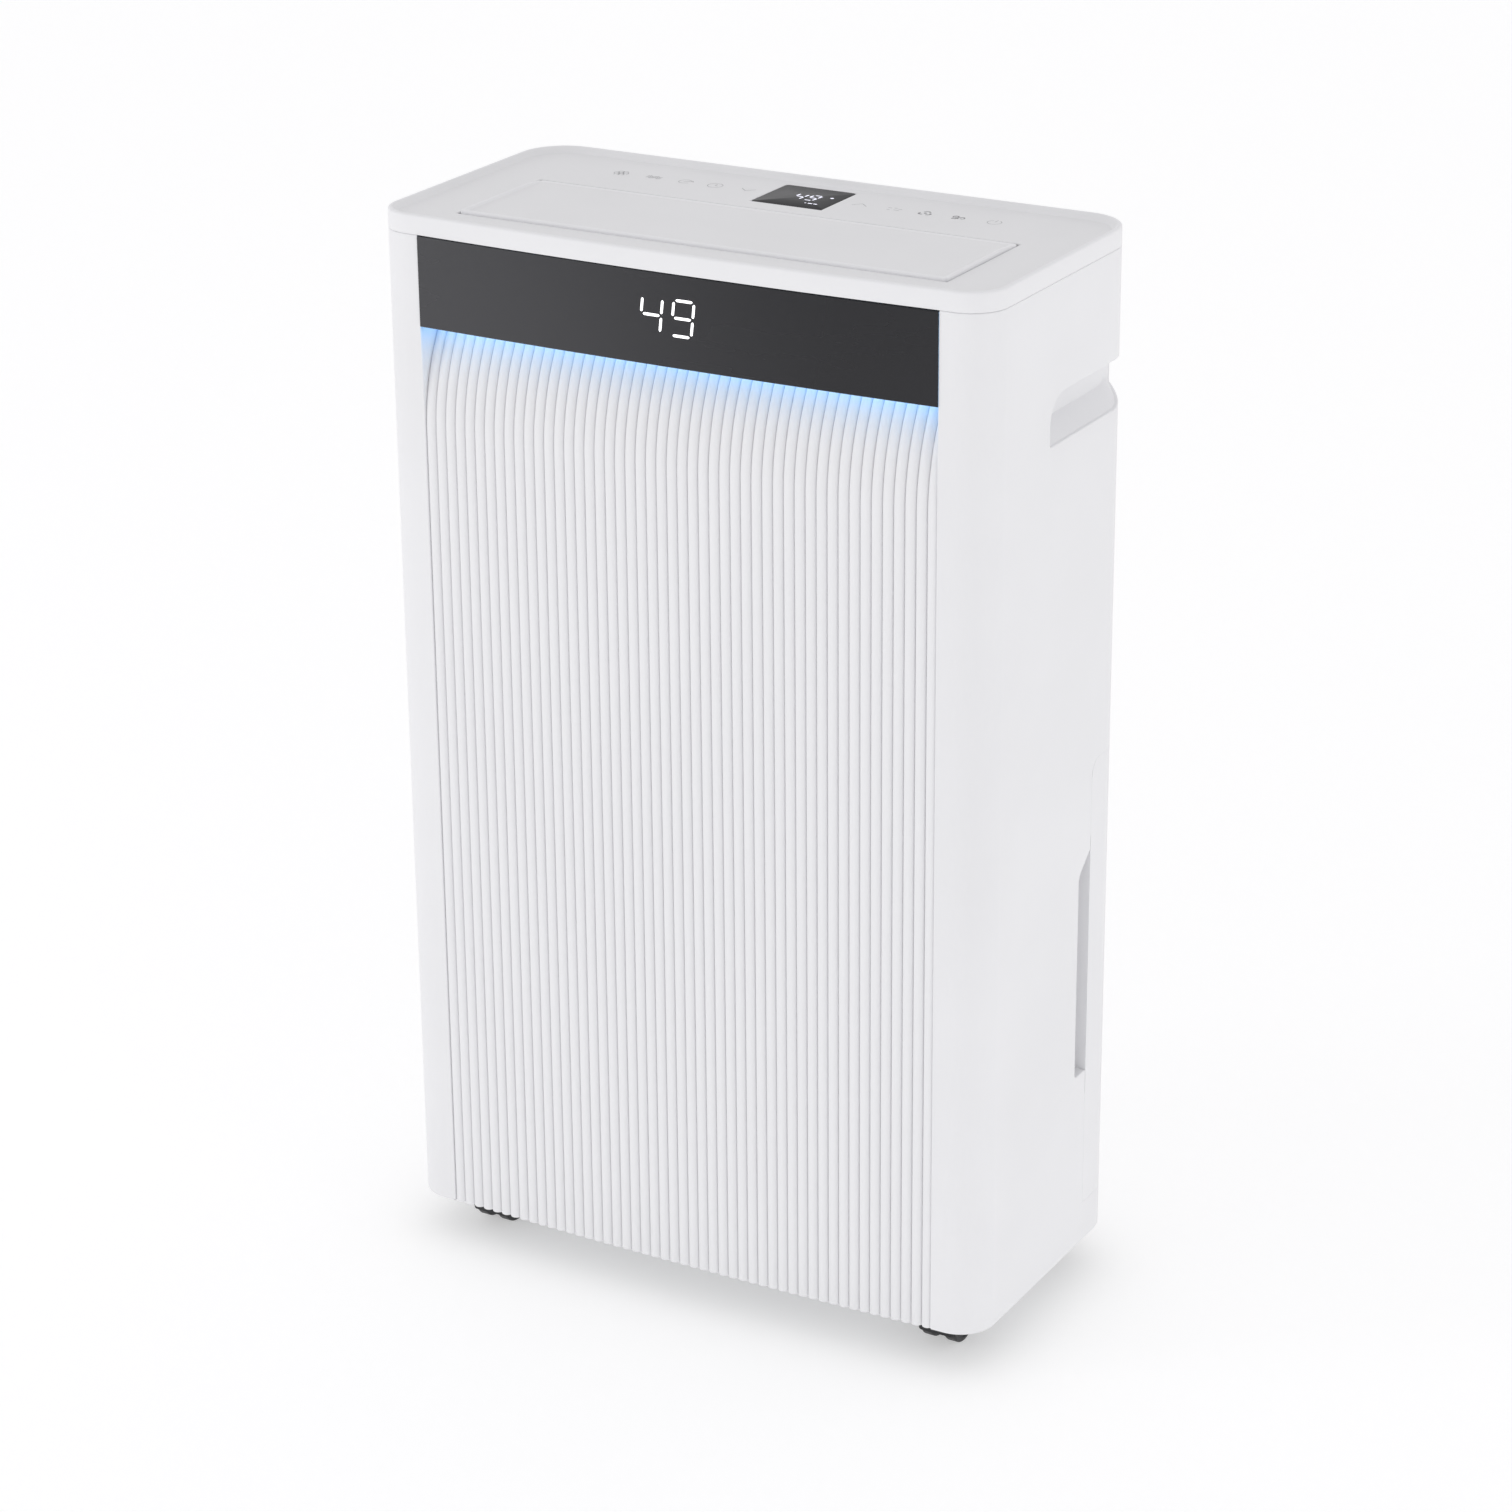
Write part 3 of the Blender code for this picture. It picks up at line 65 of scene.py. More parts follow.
# ---------------------------------------------------------------- shader graph
class Signal:
    """A value socket that joins in arithmetic; each operator adds one Math node."""

    def __init__(self, graph: "Graph", socket: bpy.types.NodeSocket) -> None:
        """Wraps a socket of a graph."""
        self.graph = graph
        self.socket = socket

    def _math(self, operation: str, *terms: "Signal | float") -> "Signal":
        """Adds a Math node.

        Args:
            operation: the node's operation name.
            terms: its inputs in order.

        Returns:
            The node's result.
        """
        return self.graph.add("ShaderNodeMath", {"operation": operation}, dict(enumerate(terms)))

    def __add__(self, other: "Signal | float") -> "Signal":
        """Sum."""
        return self._math("ADD", self, other)

    __radd__ = __add__

    def __sub__(self, other: "Signal | float") -> "Signal":
        """Difference."""
        return self._math("SUBTRACT", self, other)

    def __rsub__(self, other: float) -> "Signal":
        """Reflected difference."""
        return self._math("SUBTRACT", other, self)

    def __mul__(self, other: "Signal | float") -> "Signal":
        """Product."""
        return self._math("MULTIPLY", self, other)

    __rmul__ = __mul__

    def __truediv__(self, other: "Signal | float") -> "Signal":
        """Quotient."""
        return self._math("DIVIDE", self, other)

    def __pow__(self, other: float) -> "Signal":
        """Power."""
        return self._math("POWER", self, other)

    def __mod__(self, other: float) -> "Signal":
        """Remainder, never negative."""
        return self._math("FLOORED_MODULO", self, other)

    def __lt__(self, other: "Signal | float") -> "Signal":
        """1 where this is smaller, else 0."""
        return self._math("LESS_THAN", self, other)

    def __abs__(self) -> "Signal":
        """Absolute value."""
        return self._math("ABSOLUTE", self)

    def least(self, other: "Signal | float") -> "Signal":
        """The smaller of two values."""
        return self._math("MINIMUM", self, other)

    def most(self, other: "Signal | float") -> "Signal":
        """The larger of two values."""
        return self._math("MAXIMUM", self, other)

    def ramp(self, start: float, end: float, low: float = 0.0, high: float = 1.0) -> "Signal":
        """A smooth step.

        Args:
            start: value where the result is low.
            end: value where the result is high.
            low: result at the start.
            high: result at the end.

        Returns:
            The smooth step, level outside the range.
        """
        return self.graph.add("ShaderNodeMapRange", {"interpolation_type": "SMOOTHSTEP"},
                              {"Value": self, "From Min": start, "From Max": end,
                               "To Min": low, "To Max": high})


class Graph:
    """The node tree of one material."""

    def __init__(self, name: str) -> None:
        """Makes a material with a single Principled shader."""
        self.material = bpy.data.materials.new(name)
        self.material.use_nodes = True
        self.tree = self.material.node_tree
        self.tree.nodes.clear()
        self.output = self.tree.nodes.new("ShaderNodeOutputMaterial")
        self.shader = self.tree.nodes.new("ShaderNodeBsdfPrincipled")
        self.tree.links.new(self.shader.outputs[0], self.output.inputs["Surface"])

    def _feed(self, node: bpy.types.Node, name: str | int, value: object) -> None:
        """Links a signal to a socket, or sets the socket's own value."""
        if isinstance(value, Signal):
            self.tree.links.new(value.socket, node.inputs[name])
        else:
            node.inputs[name].default_value = value

    def add(self, kind: str, settings: dict[str, object] | None = None,
            inputs: dict[str | int, object] | None = None, output: str | int = 0) -> Signal:
        """Adds a node.

        Args:
            kind: the node's type name.
            settings: its properties.
            inputs: a value or a signal for each named socket.
            output: the socket that is returned.

        Returns:
            The chosen output socket.
        """
        node = self.tree.nodes.new(kind)
        for key, value in (settings or {}).items():
            setattr(node, key, value)
        for name, value in (inputs or {}).items():
            self._feed(node, name, value)
        return Signal(self, node.outputs[output])

    def set(self, **values: object) -> "Graph":
        """Sets sockets of the shader, with _ for each space in their names."""
        for name, value in values.items():
            self._feed(self.shader, name.replace("_", " "), value)
        return self

    def place(self) -> Signal:
        """The point on the object, in the frame's metres."""
        return self.add("ShaderNodeTexCoord", output="Object")

    def axes(self, point: Signal) -> tuple[Signal, Signal, Signal]:
        """The three coordinates of a point."""
        first = self.add("ShaderNodeSeparateXYZ", inputs={0: point})
        node = first.socket.node
        return first, Signal(self, node.outputs[1]), Signal(self, node.outputs[2])

    def noise(self, point: Signal, scale: float, detail: float = 2.0,
              stretch: Vec | None = None) -> Signal:
        """Fractal noise.

        Args:
            point: where it is read.
            scale: cells in a metre.
            detail: octaves.
            stretch: factors on the three axes before the noise.

        Returns:
            Values round one half.
        """
        if stretch is not None:
            point = self.add("ShaderNodeVectorMath", {"operation": "MULTIPLY"},
                             {0: point, 1: stretch})
        return self.add("ShaderNodeTexNoise", inputs={"Vector": point, "Scale": scale,
                                                      "Detail": detail})

    def blend(self, amount: Signal, low: Signal | Vec, high: Signal | Vec) -> Signal:
        """Mixes two colours by an amount from 0 to 1."""
        def colour(value: Signal | Vec) -> object:
            """A colour as four numbers, or a signal as it is."""
            return value if isinstance(value, Signal) else (*value, 1.0)
        return self.add("ShaderNodeMix", {"data_type": "RGBA"},
                        {0: amount, 6: colour(low), 7: colour(high)}, 2)

    def bump(self, height: Signal, strength: float, distance: float) -> Signal:
        """A bumped normal from a height signal."""
        return self.add("ShaderNodeBump", inputs={"Height": height, "Strength": strength,
                                                  "Distance": distance})


# ---------------------------------------------------------------- finishes
@dataclass(frozen=True)
class MouldedPlastic:
    """Satin moulded plastic with a spark-eroded grain and faint flow marks."""

    name: str
    colour: Vec
    roughness: float = 0.42
    grain: float = 2600.0
    depth: float = 0.018 * MM
    specular: float = 0.45

    def build(self) -> bpy.types.Material:
        """Returns the material: base colour and roughness drift by noise, and the grain is a bump."""
        g = Graph(self.name)
        p = g.place()
        cloud = g.noise(p, 9.0, 3.0)
        flow = g.noise(p, 38.0, 2.0, (1.0, 1.0, 0.25))
        dark = tuple(c * 0.972 for c in self.colour)
        g.set(Base_Color=g.blend(cloud.ramp(0.3, 0.7), dark, self.colour),
              Roughness=flow * 0.09 + (self.roughness - 0.045),
              Specular_IOR_Level=self.specular,
              Normal=g.bump(g.noise(p, self.grain, 1.0), 0.35, self.depth))
        return g.material


@dataclass(frozen=True)
class LitPlastic:
    """White moulded plastic with the glow of the light strip above painted on it, as emission and as a
    blue tint of its base colour.
    """

    name: str
    colour: Vec
    glow: Vec
    deep: Vec
    top: float
    reach: float
    strength: float = 1.0
    roughness: float = 0.42
    fall: float = 2.9
    painted_glow_tint: Vec = (0.34, 0.60, 0.92)

    def build(self) -> bpy.types.Material:
        """Returns the material.

        Nearness is 1 at the strip and falls evenly to 0 at the glow's reach. The painted light and the
        painted blue tint of the base colour are powers of it, and the painted light turns from pale blue
        to a deeper blue as it fades.
        """
        g = Graph(self.name)
        p = g.place()
        x, _, z = g.axes(p)
        below = (self.top - z) / self.reach
        near = (1.0 - below).most(0.0).least(1.0)
        across = g.add("ShaderNodeCombineXYZ", inputs={0: x})
        # painted light: the strip's glow given to the ribs as emission
        wash = (near ** self.fall) * g.noise(across, 75.0, 2.0).ramp(0.3, 0.7, 0.8, 1.0)
        colour = g.blend(near ** 1.6, self.deep, self.glow)
        lit = g.blend(wash, (0.0, 0.0, 0.0), colour)
        # painted light: the glow's blue also tints the base colour near the strip
        tint = g.blend(near ** 4.0 * 0.8, self.colour, self.painted_glow_tint)
        g.set(Base_Color=tint, Roughness=self.roughness, Specular_IOR_Level=0.45,
              Emission_Color=lit, Emission_Strength=self.strength,
              Normal=g.bump(g.noise(p, 2600.0, 1.0), 0.3, 0.016 * MM))
        return g.material


@dataclass(frozen=True)
class GlossPanel:
    """Smoked gloss plastic with faint wipe marks, and a painted reflection that lightens it towards the
    left.
    """

    name: str
    colour: Vec
    # painted reflection: the lighter colour the panel takes at its left end
    thin: Vec = (0.05, 0.05, 0.055)
    roughness: float = 0.24
    specular: float = 0.38

    def build(self) -> bpy.types.Material:
        """Returns the material: a painted reflection lightens the base colour to the left, and wipe marks
        lift the roughness.
        """
        g = Graph(self.name)
        p = g.place()
        marks = g.noise(p, 22.0, 4.0, (0.35, 1.0, 1.6))
        # painted reflection: the base colour lightens towards the left
        across = g.axes(p)[0].ramp(-0.17, 0.12)
        g.set(Base_Color=g.blend(across, self.thin, self.colour),
              Roughness=marks.ramp(0.4, 0.75, self.roughness, self.roughness + 0.07),
              Specular_IOR_Level=self.specular)
        return g.material


@dataclass(frozen=True)
class ClearPlastic:
    """Clear or tinted plastic."""

    name: str
    colour: Vec
    alpha: float = 0.32

    def build(self) -> bpy.types.Material:
        """Returns the material: thin smoky shell, a little cloudier in soft patches."""
        g = Graph(self.name)
        cloud = g.noise(g.place(), 30.0, 3.0)
        g.set(Base_Color=(*self.colour, 1.0), Roughness=cloud.ramp(0.3, 0.8, 0.05, 0.14),
              Alpha=cloud.ramp(0.2, 0.8, self.alpha, self.alpha + 0.08), IOR=1.49)
        return g.material


@dataclass(frozen=True)
class DrawnMetal:
    """Bare metal with fine lines along one axis."""

    name: str
    colour: Vec
    roughness: float = 0.3
    lines: Vec = (1.0, 1.0, 0.02)
    dull: float = 0.7

    def build(self) -> bpy.types.Material:
        """Returns the material: stretched noise makes the lines, broad noise the dull patches."""
        g = Graph(self.name)
        p = g.place()
        streak = g.noise(p, 1800.0, 2.0, self.lines)
        patch = g.noise(p, 26.0, 4.0)
        dark = tuple(c * self.dull for c in self.colour)
        g.set(Base_Color=g.blend(patch.ramp(0.35, 0.7), dark, self.colour), Metallic=1.0,
              Roughness=streak * 0.16 + patch * 0.12 + (self.roughness - 0.14),
              Normal=g.bump(streak, 0.25, 0.02 * MM))
        return g.material


@dataclass(frozen=True)
class Enamel:
    """Sprayed black enamel with orange peel."""

    name: str
    colour: Vec

    def build(self) -> bpy.types.Material:
        """Returns the material: the peel is a bump of mid-sized noise under a clear coat."""
        g = Graph(self.name)
        p = g.place()
        dust = g.noise(p, 60.0, 5.0)
        g.set(Base_Color=g.blend(dust.ramp(0.5, 0.8), self.colour, (0.09, 0.09, 0.09)),
              Roughness=dust.ramp(0.3, 0.8, 0.3, 0.55), Coat_Weight=0.4,
              Normal=g.bump(g.noise(p, 420.0, 2.0), 0.3, 0.08 * MM))
        return g.material


@dataclass(frozen=True)
class CircuitBoard:
    """Green board with copper tracks under the mask."""

    name: str
    colour: Vec

    def build(self) -> bpy.types.Material:
        """Returns the material: tracks are thin lines of a brick pattern, pads are cell centres."""
        g = Graph(self.name)
        p = g.place()
        x, y, z = g.axes(p)
        flat = g.add("ShaderNodeCombineXYZ", inputs={0: x, 1: y + z})
        tracks = g.add("ShaderNodeTexBrick", inputs={
            "Vector": flat, "Scale": 1.0, "Mortar Size": 0.0005, "Brick Width": 0.011,
            "Row Height": 0.0042, "Mortar Smooth": 0.1}, output="Fac")
        pads = g.add("ShaderNodeTexVoronoi", inputs={"Vector": p, "Scale": 170.0}) < 0.16
        copper = tracks.most(pads * 0.8)
        light = tuple(min(1.0, c * 2.6 + 0.03) for c in self.colour)
        g.set(Base_Color=g.blend(copper, self.colour, light), Roughness=0.34,
              Metallic=pads * 0.5)
        return g.material


@dataclass(frozen=True)
class WovenMesh:
    """Fine nylon net: threads along two axes with holes between."""

    name: str
    colour: Vec
    pitch: float = 1.1 * MM
    share: float = 0.19

    def build(self) -> bpy.types.Material:
        """Returns the material.

        A point is thread where either axis is nearer to a thread's middle than a share of the
        pitch, and the same distance makes the thread round.
        """
        g = Graph(self.name)
        x, _, z = g.axes(g.place())
        across = abs((x / self.pitch % 1.0) - 0.5)
        up = abs((z / self.pitch % 1.0) - 0.5)
        thread = across.least(up) < self.share
        bulge = across.least(up).ramp(0.0, 0.2, 1.0, 0.0)
        g.set(Base_Color=(*self.colour, 1.0), Roughness=0.7, Alpha=thread,
              Normal=g.bump(bulge, 0.6, 0.2 * MM))
        return g.material


@dataclass(frozen=True)
class SoftMatter:
    """Rubber or foam: matt, with a pitted skin."""

    name: str
    colour: Vec
    cells: float
    depth: float

    def build(self) -> bpy.types.Material:
        """Returns the material: cell distance gives the pits."""
        g = Graph(self.name)
        p = g.place()
        cells = g.add("ShaderNodeTexVoronoi", inputs={"Vector": p, "Scale": self.cells})
        dark = tuple(c * 0.85 for c in self.colour)
        g.set(Base_Color=g.blend(g.noise(p, 60.0), dark, self.colour),
              Roughness=g.noise(p, 90.0) * 0.1 + 0.78, Specular_IOR_Level=0.25,
              Normal=g.bump(cells, 0.4, self.depth))
        return g.material


@dataclass(frozen=True)
class Lamp:
    """A lit surface whose light is slightly uneven."""

    name: str
    colour: Vec
    strength: float
    body: Vec = (0.9, 0.9, 0.95)

    def build(self) -> bpy.types.Material:
        """Returns the material: broad noise takes a few percent off the light in patches."""
        g = Graph(self.name)
        uneven = g.noise(g.place(), 120.0, 1.0).ramp(0.3, 0.7)
        dim = tuple(c * 0.93 for c in self.colour)
        g.set(Base_Color=(*self.body, 1.0), Roughness=0.4,
              Emission_Color=g.blend(uneven, dim, self.colour), Emission_Strength=self.strength)
        return g.material


@dataclass(frozen=True)
class PrintedInk:
    """Pad-printed marks with slightly uneven cover."""

    name: str
    colour: Vec

    def build(self) -> bpy.types.Material:
        """Returns the material: fine noise thins the ink."""
        g = Graph(self.name)
        cover = g.noise(g.place(), 1500.0, 2.0)
        thin = tuple(c + (0.8 - c) * 0.18 for c in self.colour)
        g.set(Base_Color=g.blend(cover.ramp(0.35, 0.65), thin, self.colour), Roughness=0.5)
        return g.material


class Stock(Enum):
    """The finishes of the product, each with the record slot it belongs to."""

    WHITE = "white_plastic"
    WHITE_TOP = "white_top"
    LIT_RIBS = "lit_ribs"
    BLACK_GLOSS = "black_gloss"
    WINDOW = "window_gloss"
    BLACK = "black_plastic"
    GREY = "grey_plastic"
    STRIP = "light_strip"
    CLEAR = "clear_plastic"
    ALUMINIUM = "aluminium"
    COPPER = "copper"
    ENAMEL = "painted_steel"
    BOARD = "circuit_board"
    NET = "filter_mesh"
    RUBBER = "rubber"
    ZINC = "zinc_steel"
    FOAM = "foam"
    DIGITS = "digits"
    DIGITS_SMALL = "digits_small"
    INK = "ink"
    INK_DARK = "ink_dark"

    @property
    def slot(self) -> str:
        """The record's slot for this finish."""
        shared = {Stock.WHITE_TOP: Stock.WHITE, Stock.LIT_RIBS: Stock.WHITE,
                  Stock.DIGITS: Stock.STRIP, Stock.DIGITS_SMALL: Stock.STRIP,
                  Stock.WINDOW: Stock.BLACK_GLOSS, Stock.INK: Stock.GREY, Stock.INK_DARK: Stock.GREY}
        return shared.get(self, self).value


WHITE_COLOUR: Vec = (0.835, 0.835, 0.85)
RECIPES: dict[Stock, object] = {
    Stock.WHITE: MouldedPlastic("white_plastic", WHITE_COLOUR),
    # painted shade: a darker copy of the white plastic for the faces that look up
    Stock.WHITE_TOP: MouldedPlastic("white_top", (0.80, 0.80, 0.81), 0.48),
    # painted light: the strip's glow on the ribs, fading over 38 mm below the strip
    Stock.LIT_RIBS: LitPlastic("lit_ribs", WHITE_COLOUR, (0.30, 0.62, 1.0), (0.12, 0.30, 0.95),
                               top=0.5535, reach=0.038, strength=0.2),
    # painted reflection: the display panel lightens towards its left end
    Stock.BLACK_GLOSS: GlossPanel("black_gloss", (0.009, 0.009, 0.012)),
    Stock.WINDOW: GlossPanel("window_gloss", (0.016, 0.016, 0.018), (0.016, 0.016, 0.018), 0.3, 0.12),
    Stock.BLACK: MouldedPlastic("black_plastic", (0.014, 0.014, 0.016), 0.38, 1500.0, 0.03 * MM),
    Stock.GREY: MouldedPlastic("grey_plastic", (0.28, 0.29, 0.31), 0.5, 1500.0, 0.03 * MM),
    Stock.STRIP: Lamp("light_strip", (0.35, 0.72, 1.0), 1.5),
    Stock.CLEAR: ClearPlastic("clear_plastic", (0.72, 0.80, 0.85)),
    Stock.ALUMINIUM: DrawnMetal("aluminium", (0.80, 0.81, 0.83), 0.36),
    Stock.COPPER: DrawnMetal("copper", (0.75, 0.40, 0.24), 0.28),
    Stock.ENAMEL: Enamel("painted_steel", (0.014, 0.014, 0.016)),
    Stock.BOARD: CircuitBoard("circuit_board", (0.012, 0.13, 0.05)),
    Stock.NET: WovenMesh("filter_mesh", (0.05, 0.055, 0.065)),
    Stock.RUBBER: SoftMatter("rubber", (0.02, 0.02, 0.02), 900.0, 0.04 * MM),
    Stock.ZINC: DrawnMetal("zinc_steel", (0.66, 0.66, 0.69), 0.34),
    Stock.FOAM: SoftMatter("foam", (0.74, 0.76, 0.78), 700.0, 0.3 * MM),
    Stock.DIGITS: Lamp("digits", (1.0, 0.99, 1.0), 1.25),
    Stock.DIGITS_SMALL: Lamp("digits_small", (0.80, 0.80, 1.0), 0.75),
    Stock.INK: PrintedInk("ink", (0.40, 0.40, 0.41)),
    Stock.INK_DARK: PrintedInk("ink_dark", (0.17, 0.17, 0.18)),
}


class Paintbox:
    """Builds each finish once and hands it out."""

    def __init__(self) -> None:
        """Starts with no finish built."""
        self.made: dict[Stock, bpy.types.Material] = {}

    def get(self, stock: Stock) -> bpy.types.Material:
        """Returns the material of a finish, building it the first time."""
        if stock not in self.made:
            self.made[stock] = RECIPES[stock].build()
        return self.made[stock]


PAINT = Paintbox()


# ---------------------------------------------------------------- surfaces
@dataclass
class Patch:
    """A grid of points; closed columns join the last one to the first."""

    points: np.ndarray
    close_columns: bool = False
    flip: bool = False
    finish: int = 0

    def quads(self) -> np.ndarray:
        """Returns the corners of each cell, anticlockwise for rows along u and columns along v."""
        rows, columns = self.points.shape[:2]
        i = np.arange(rows - 1)
        j = np.arange(columns if self.close_columns else columns - 1)
        i, j = (a.ravel() for a in np.meshgrid(i, j, indexing="ij"))
        i2, j2 = i + 1, (j + 1) % columns
        corners = np.stack([i * columns + j, i2 * columns + j, i2 * columns + j2,
                            i * columns + j2], axis=1)
        return corners[:, ::-1] if self.flip else corners


class Piece:
    """A named visual piece made of patches, welded into one mesh."""

    def __init__(self, name: str, body: str, *stocks: Stock, stands_for: Sequence[str] = (),
                 smooth: float = 32.0) -> None:
        """Names the piece, its body, its finishes and the CAD nodes it stands for."""
        self.name = name
        self.body = body
        self.stocks = stocks
        self.stands_for = stands_for
        self.smooth = smooth
        self.patches: list[Patch] = []

    def patch(self, points: np.ndarray, flip: bool = False, close_columns: bool = False,
              finish: int = 0) -> None:
        """Adds a patch.

        Args:
            points: its grid of points.
            flip: turns its faces over.
            close_columns: joins the last column to the first.
            finish: index of its finish.
        """
        self.patches.append(Patch(np.asarray(points, float), close_columns, flip, finish))

    def ring(self, points: np.ndarray, flip: bool = False, finish: int = 0) -> None:
        """Adds a patch whose columns close."""
        self.patch(points, flip, True, finish)

    def mirrored(self) -> "Piece":
        """Adds the mirror image in X of every patch and returns the piece."""
        self.patches += [Patch(one.points * (-1.0, 1.0, 1.0), one.close_columns, not one.flip,
                               one.finish) for one in self.patches]
        return self

    def build(self) -> bpy.types.Object:
        """Welds equal points, drops empty cells and makes the object.

        Returns:
            The finished object, riding on its body.
        """
        points = np.concatenate([p.points.reshape(-1, 3) for p in self.patches])
        starts = np.cumsum([0] + [p.points.shape[0] * p.points.shape[1] for p in self.patches])
        quads = np.concatenate([p.quads() + s for p, s in zip(self.patches, starts)])
        finish = np.concatenate([np.full(len(p.quads()), p.finish) for p in self.patches])
        _, first, back = np.unique(np.round(points / WELD).astype(np.int64), axis=0,
                                   return_index=True, return_inverse=True)
        quads = back.reshape(-1)[quads]
        same = quads == np.roll(quads, -1, axis=1)
        doubled = same.sum(axis=1)
        whole = doubled == 0
        thin = doubled == 1
        shift = np.argmax(same[thin], axis=1)
        order = (np.arange(3)[None, :] + shift[:, None] + 1) % 4
        triples = np.take_along_axis(quads[thin], order, axis=1)
        folded = (quads[:, 0] == quads[:, 2]) | (quads[:, 1] == quads[:, 3])
        whole &= ~folded
        mesh = bpy.data.meshes.new(self.name)
        mesh.from_pydata(points[first].tolist(), [], quads[whole].tolist() + triples.tolist())
        mesh.polygons.foreach_set("material_index",
                                  np.concatenate([finish[whole], finish[thin]]).astype(np.int32))
        mesh.polygons.foreach_set("use_smooth", np.ones(len(mesh.polygons), bool))
        for stock in self.stocks:
            mesh.materials.append(PAINT.get(stock))
        mesh.update()
        mesh.set_sharp_from_angle(angle=math.radians(self.smooth))
        made = bpy.data.objects.new(self.name, mesh)
        bpy.context.scene.collection.objects.link(made)
        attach(made, self.body)
        if self.stands_for:
            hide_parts(*self.stands_for)
        self.stocks[0].slot
        LOG.info("%s: %d faces on %s", self.name, len(mesh.polygons), self.body)
        return made


def spread(*stops: float, step: float) -> np.ndarray:
    """Numbers from the first stop to the last, through each stop, no further apart than a step."""
    lines = [np.linspace(a, b, max(2, int(math.ceil(abs(b - a) / step)) + 1))[:-1]
             for a, b in zip(stops[:-1], stops[1:])]
    return np.concatenate([*lines, [stops[-1]]])


def grid(u: np.ndarray, v: np.ndarray, shape: Callable[[np.ndarray, np.ndarray], tuple]) -> np.ndarray:
    """Points of a function of two parameters, as a (len(u), len(v), 3) array."""
    uu, vv = np.meshgrid(u, v, indexing="ij")
    return np.stack(np.broadcast_arrays(*shape(uu, vv)), axis=-1).astype(float)


def ruled(first: np.ndarray, last: np.ndarray, steps: int = 1) -> np.ndarray:
    """Straight lines from each point of one line to the same point of another."""
    t = np.linspace(0.0, 1.0, steps + 1)[:, None, None]
    return first[None] * (1.0 - t) + last[None] * t


def rounded_loop(half_x: float, half_y: float, radius: float, centre: tuple[float, float] = (0, 0),
                 corner: int = 8, along: int = 1) -> np.ndarray:
    """A rounded rectangle, anticlockwise from the lower right corner's start.

    Each corner is a quarter circle of the radius about a point inset by the radius.

    Args:
        half_x: half of the width.
        half_y: half of the depth.
        radius: corner radius.
        centre: middle of the rectangle.
        corner: steps in a corner.
        along: steps in a straight side.

    Returns:
        Points as an (n, 2) array whose last point joins the first.
    """
    radius = max(radius, 1e-5)
    cx, cy = half_x - radius, half_y - radius
    out = []
    for k, (sx, sy) in enumerate(((1, -1), (1, 1), (-1, 1), (-1, -1))):
        a = np.radians(-90.0 + 90.0 * k) + np.linspace(0, math.pi / 2, corner + 1)
        turn = np.stack([sx * cx + radius * np.cos(a), sy * cy + radius * np.sin(a)], axis=1)
        out.append(turn)
    loops = []
    for k in range(4):
        nxt = out[(k + 1) % 4][0]
        t = np.linspace(0, 1, along + 1)[1:-1, None]
        loops += [out[k], out[k][-1] * (1 - t) + nxt * t]
    return np.concatenate(loops) + np.asarray(centre)


def stack(loops: Sequence[np.ndarray], heights: Sequence[float]) -> np.ndarray:
    """Plan loops at their heights, as rows of points."""
    return np.stack([np.column_stack([loop, np.full(len(loop), z)])
                     for loop, z in zip(loops, heights)])


def lathe(profile: Sequence[tuple[float, float]], centre: Vec, axis: str = "Z",
          steps: int = 32) -> np.ndarray:
    """Turns a profile of (radius, along) points about an axis through a centre.

    Args:
        profile: points from one end to the other.
        centre: a point on the axis, where along is 0.
        axis: X, Y or Z.
        steps: points in a turn.

    Returns:
        Rows of points along the profile; the columns close.
    """
    rings = np.asarray(profile, float)
    a = np.arange(steps) * math.tau / steps
    radius, along = rings[:, 0][:, None], rings[:, 1][:, None] + 0 * a[None]
    one, two = radius * np.cos(a), radius * np.sin(a)
    order = {"Z": (one, two, along), "Y": (two, along, one), "X": (along, one, two)}[axis]
    return np.stack(order, axis=-1) + np.asarray(centre)


def soft(profile: Sequence[tuple[float, float]], radius: float, steps: int = 4) -> list:
    """Rounds the inner corners of a profile.

    Each corner becomes a quadratic curve that starts and ends a radius away from it, or half of
    the side where the side is short.

    Args:
        profile: corner points.
        radius: distance from a corner at which its curve starts.
        steps: points on each curve.

    Returns:
        The rounded profile.
    """
    p = np.asarray(profile, float)
    out = [p[0]]
    for a, b, c in zip(p[:-2], p[1:-1], p[2:]):
        la, lc = np.linalg.norm(a - b), np.linalg.norm(c - b)
        r = min(radius, 0.48 * la, 0.48 * lc)
        start, end = b + (a - b) * r / max(la, 1e-9), b + (c - b) * r / max(lc, 1e-9)
        t = np.linspace(0, 1, steps + 1)[:, None]
        out += list(start * (1 - t) ** 2 + 2 * b * t * (1 - t) + end * t ** 2)
    out.append(p[-1])
    return [tuple(q) for q in out]


def bar(profile: np.ndarray, start: Sequence[float], end: Sequence[float]) -> np.ndarray:
    """A closed section carried from a start to an end offset, with both ends filled.

    Args:
        profile: section points as (n, 3) about the origin, in order.
        start: offset of the first end.
        end: offset of the second end.

    Returns:
        Rows of points from one end's middle to the other's; the columns close.
    """
    middle = profile.mean(axis=0)
    return np.stack([np.broadcast_to(middle, profile.shape) + start, profile + start,
                     profile + end, np.broadcast_to(middle, profile.shape) + end])


def shifted(row: np.ndarray, back: float, level: float | None = None) -> np.ndarray:
    """A row of points moved back, and put at a level if one is given."""
    out = row.copy()
    out[:, 1] += back
    if level is not None:
        out[:, 2] = level
    return out


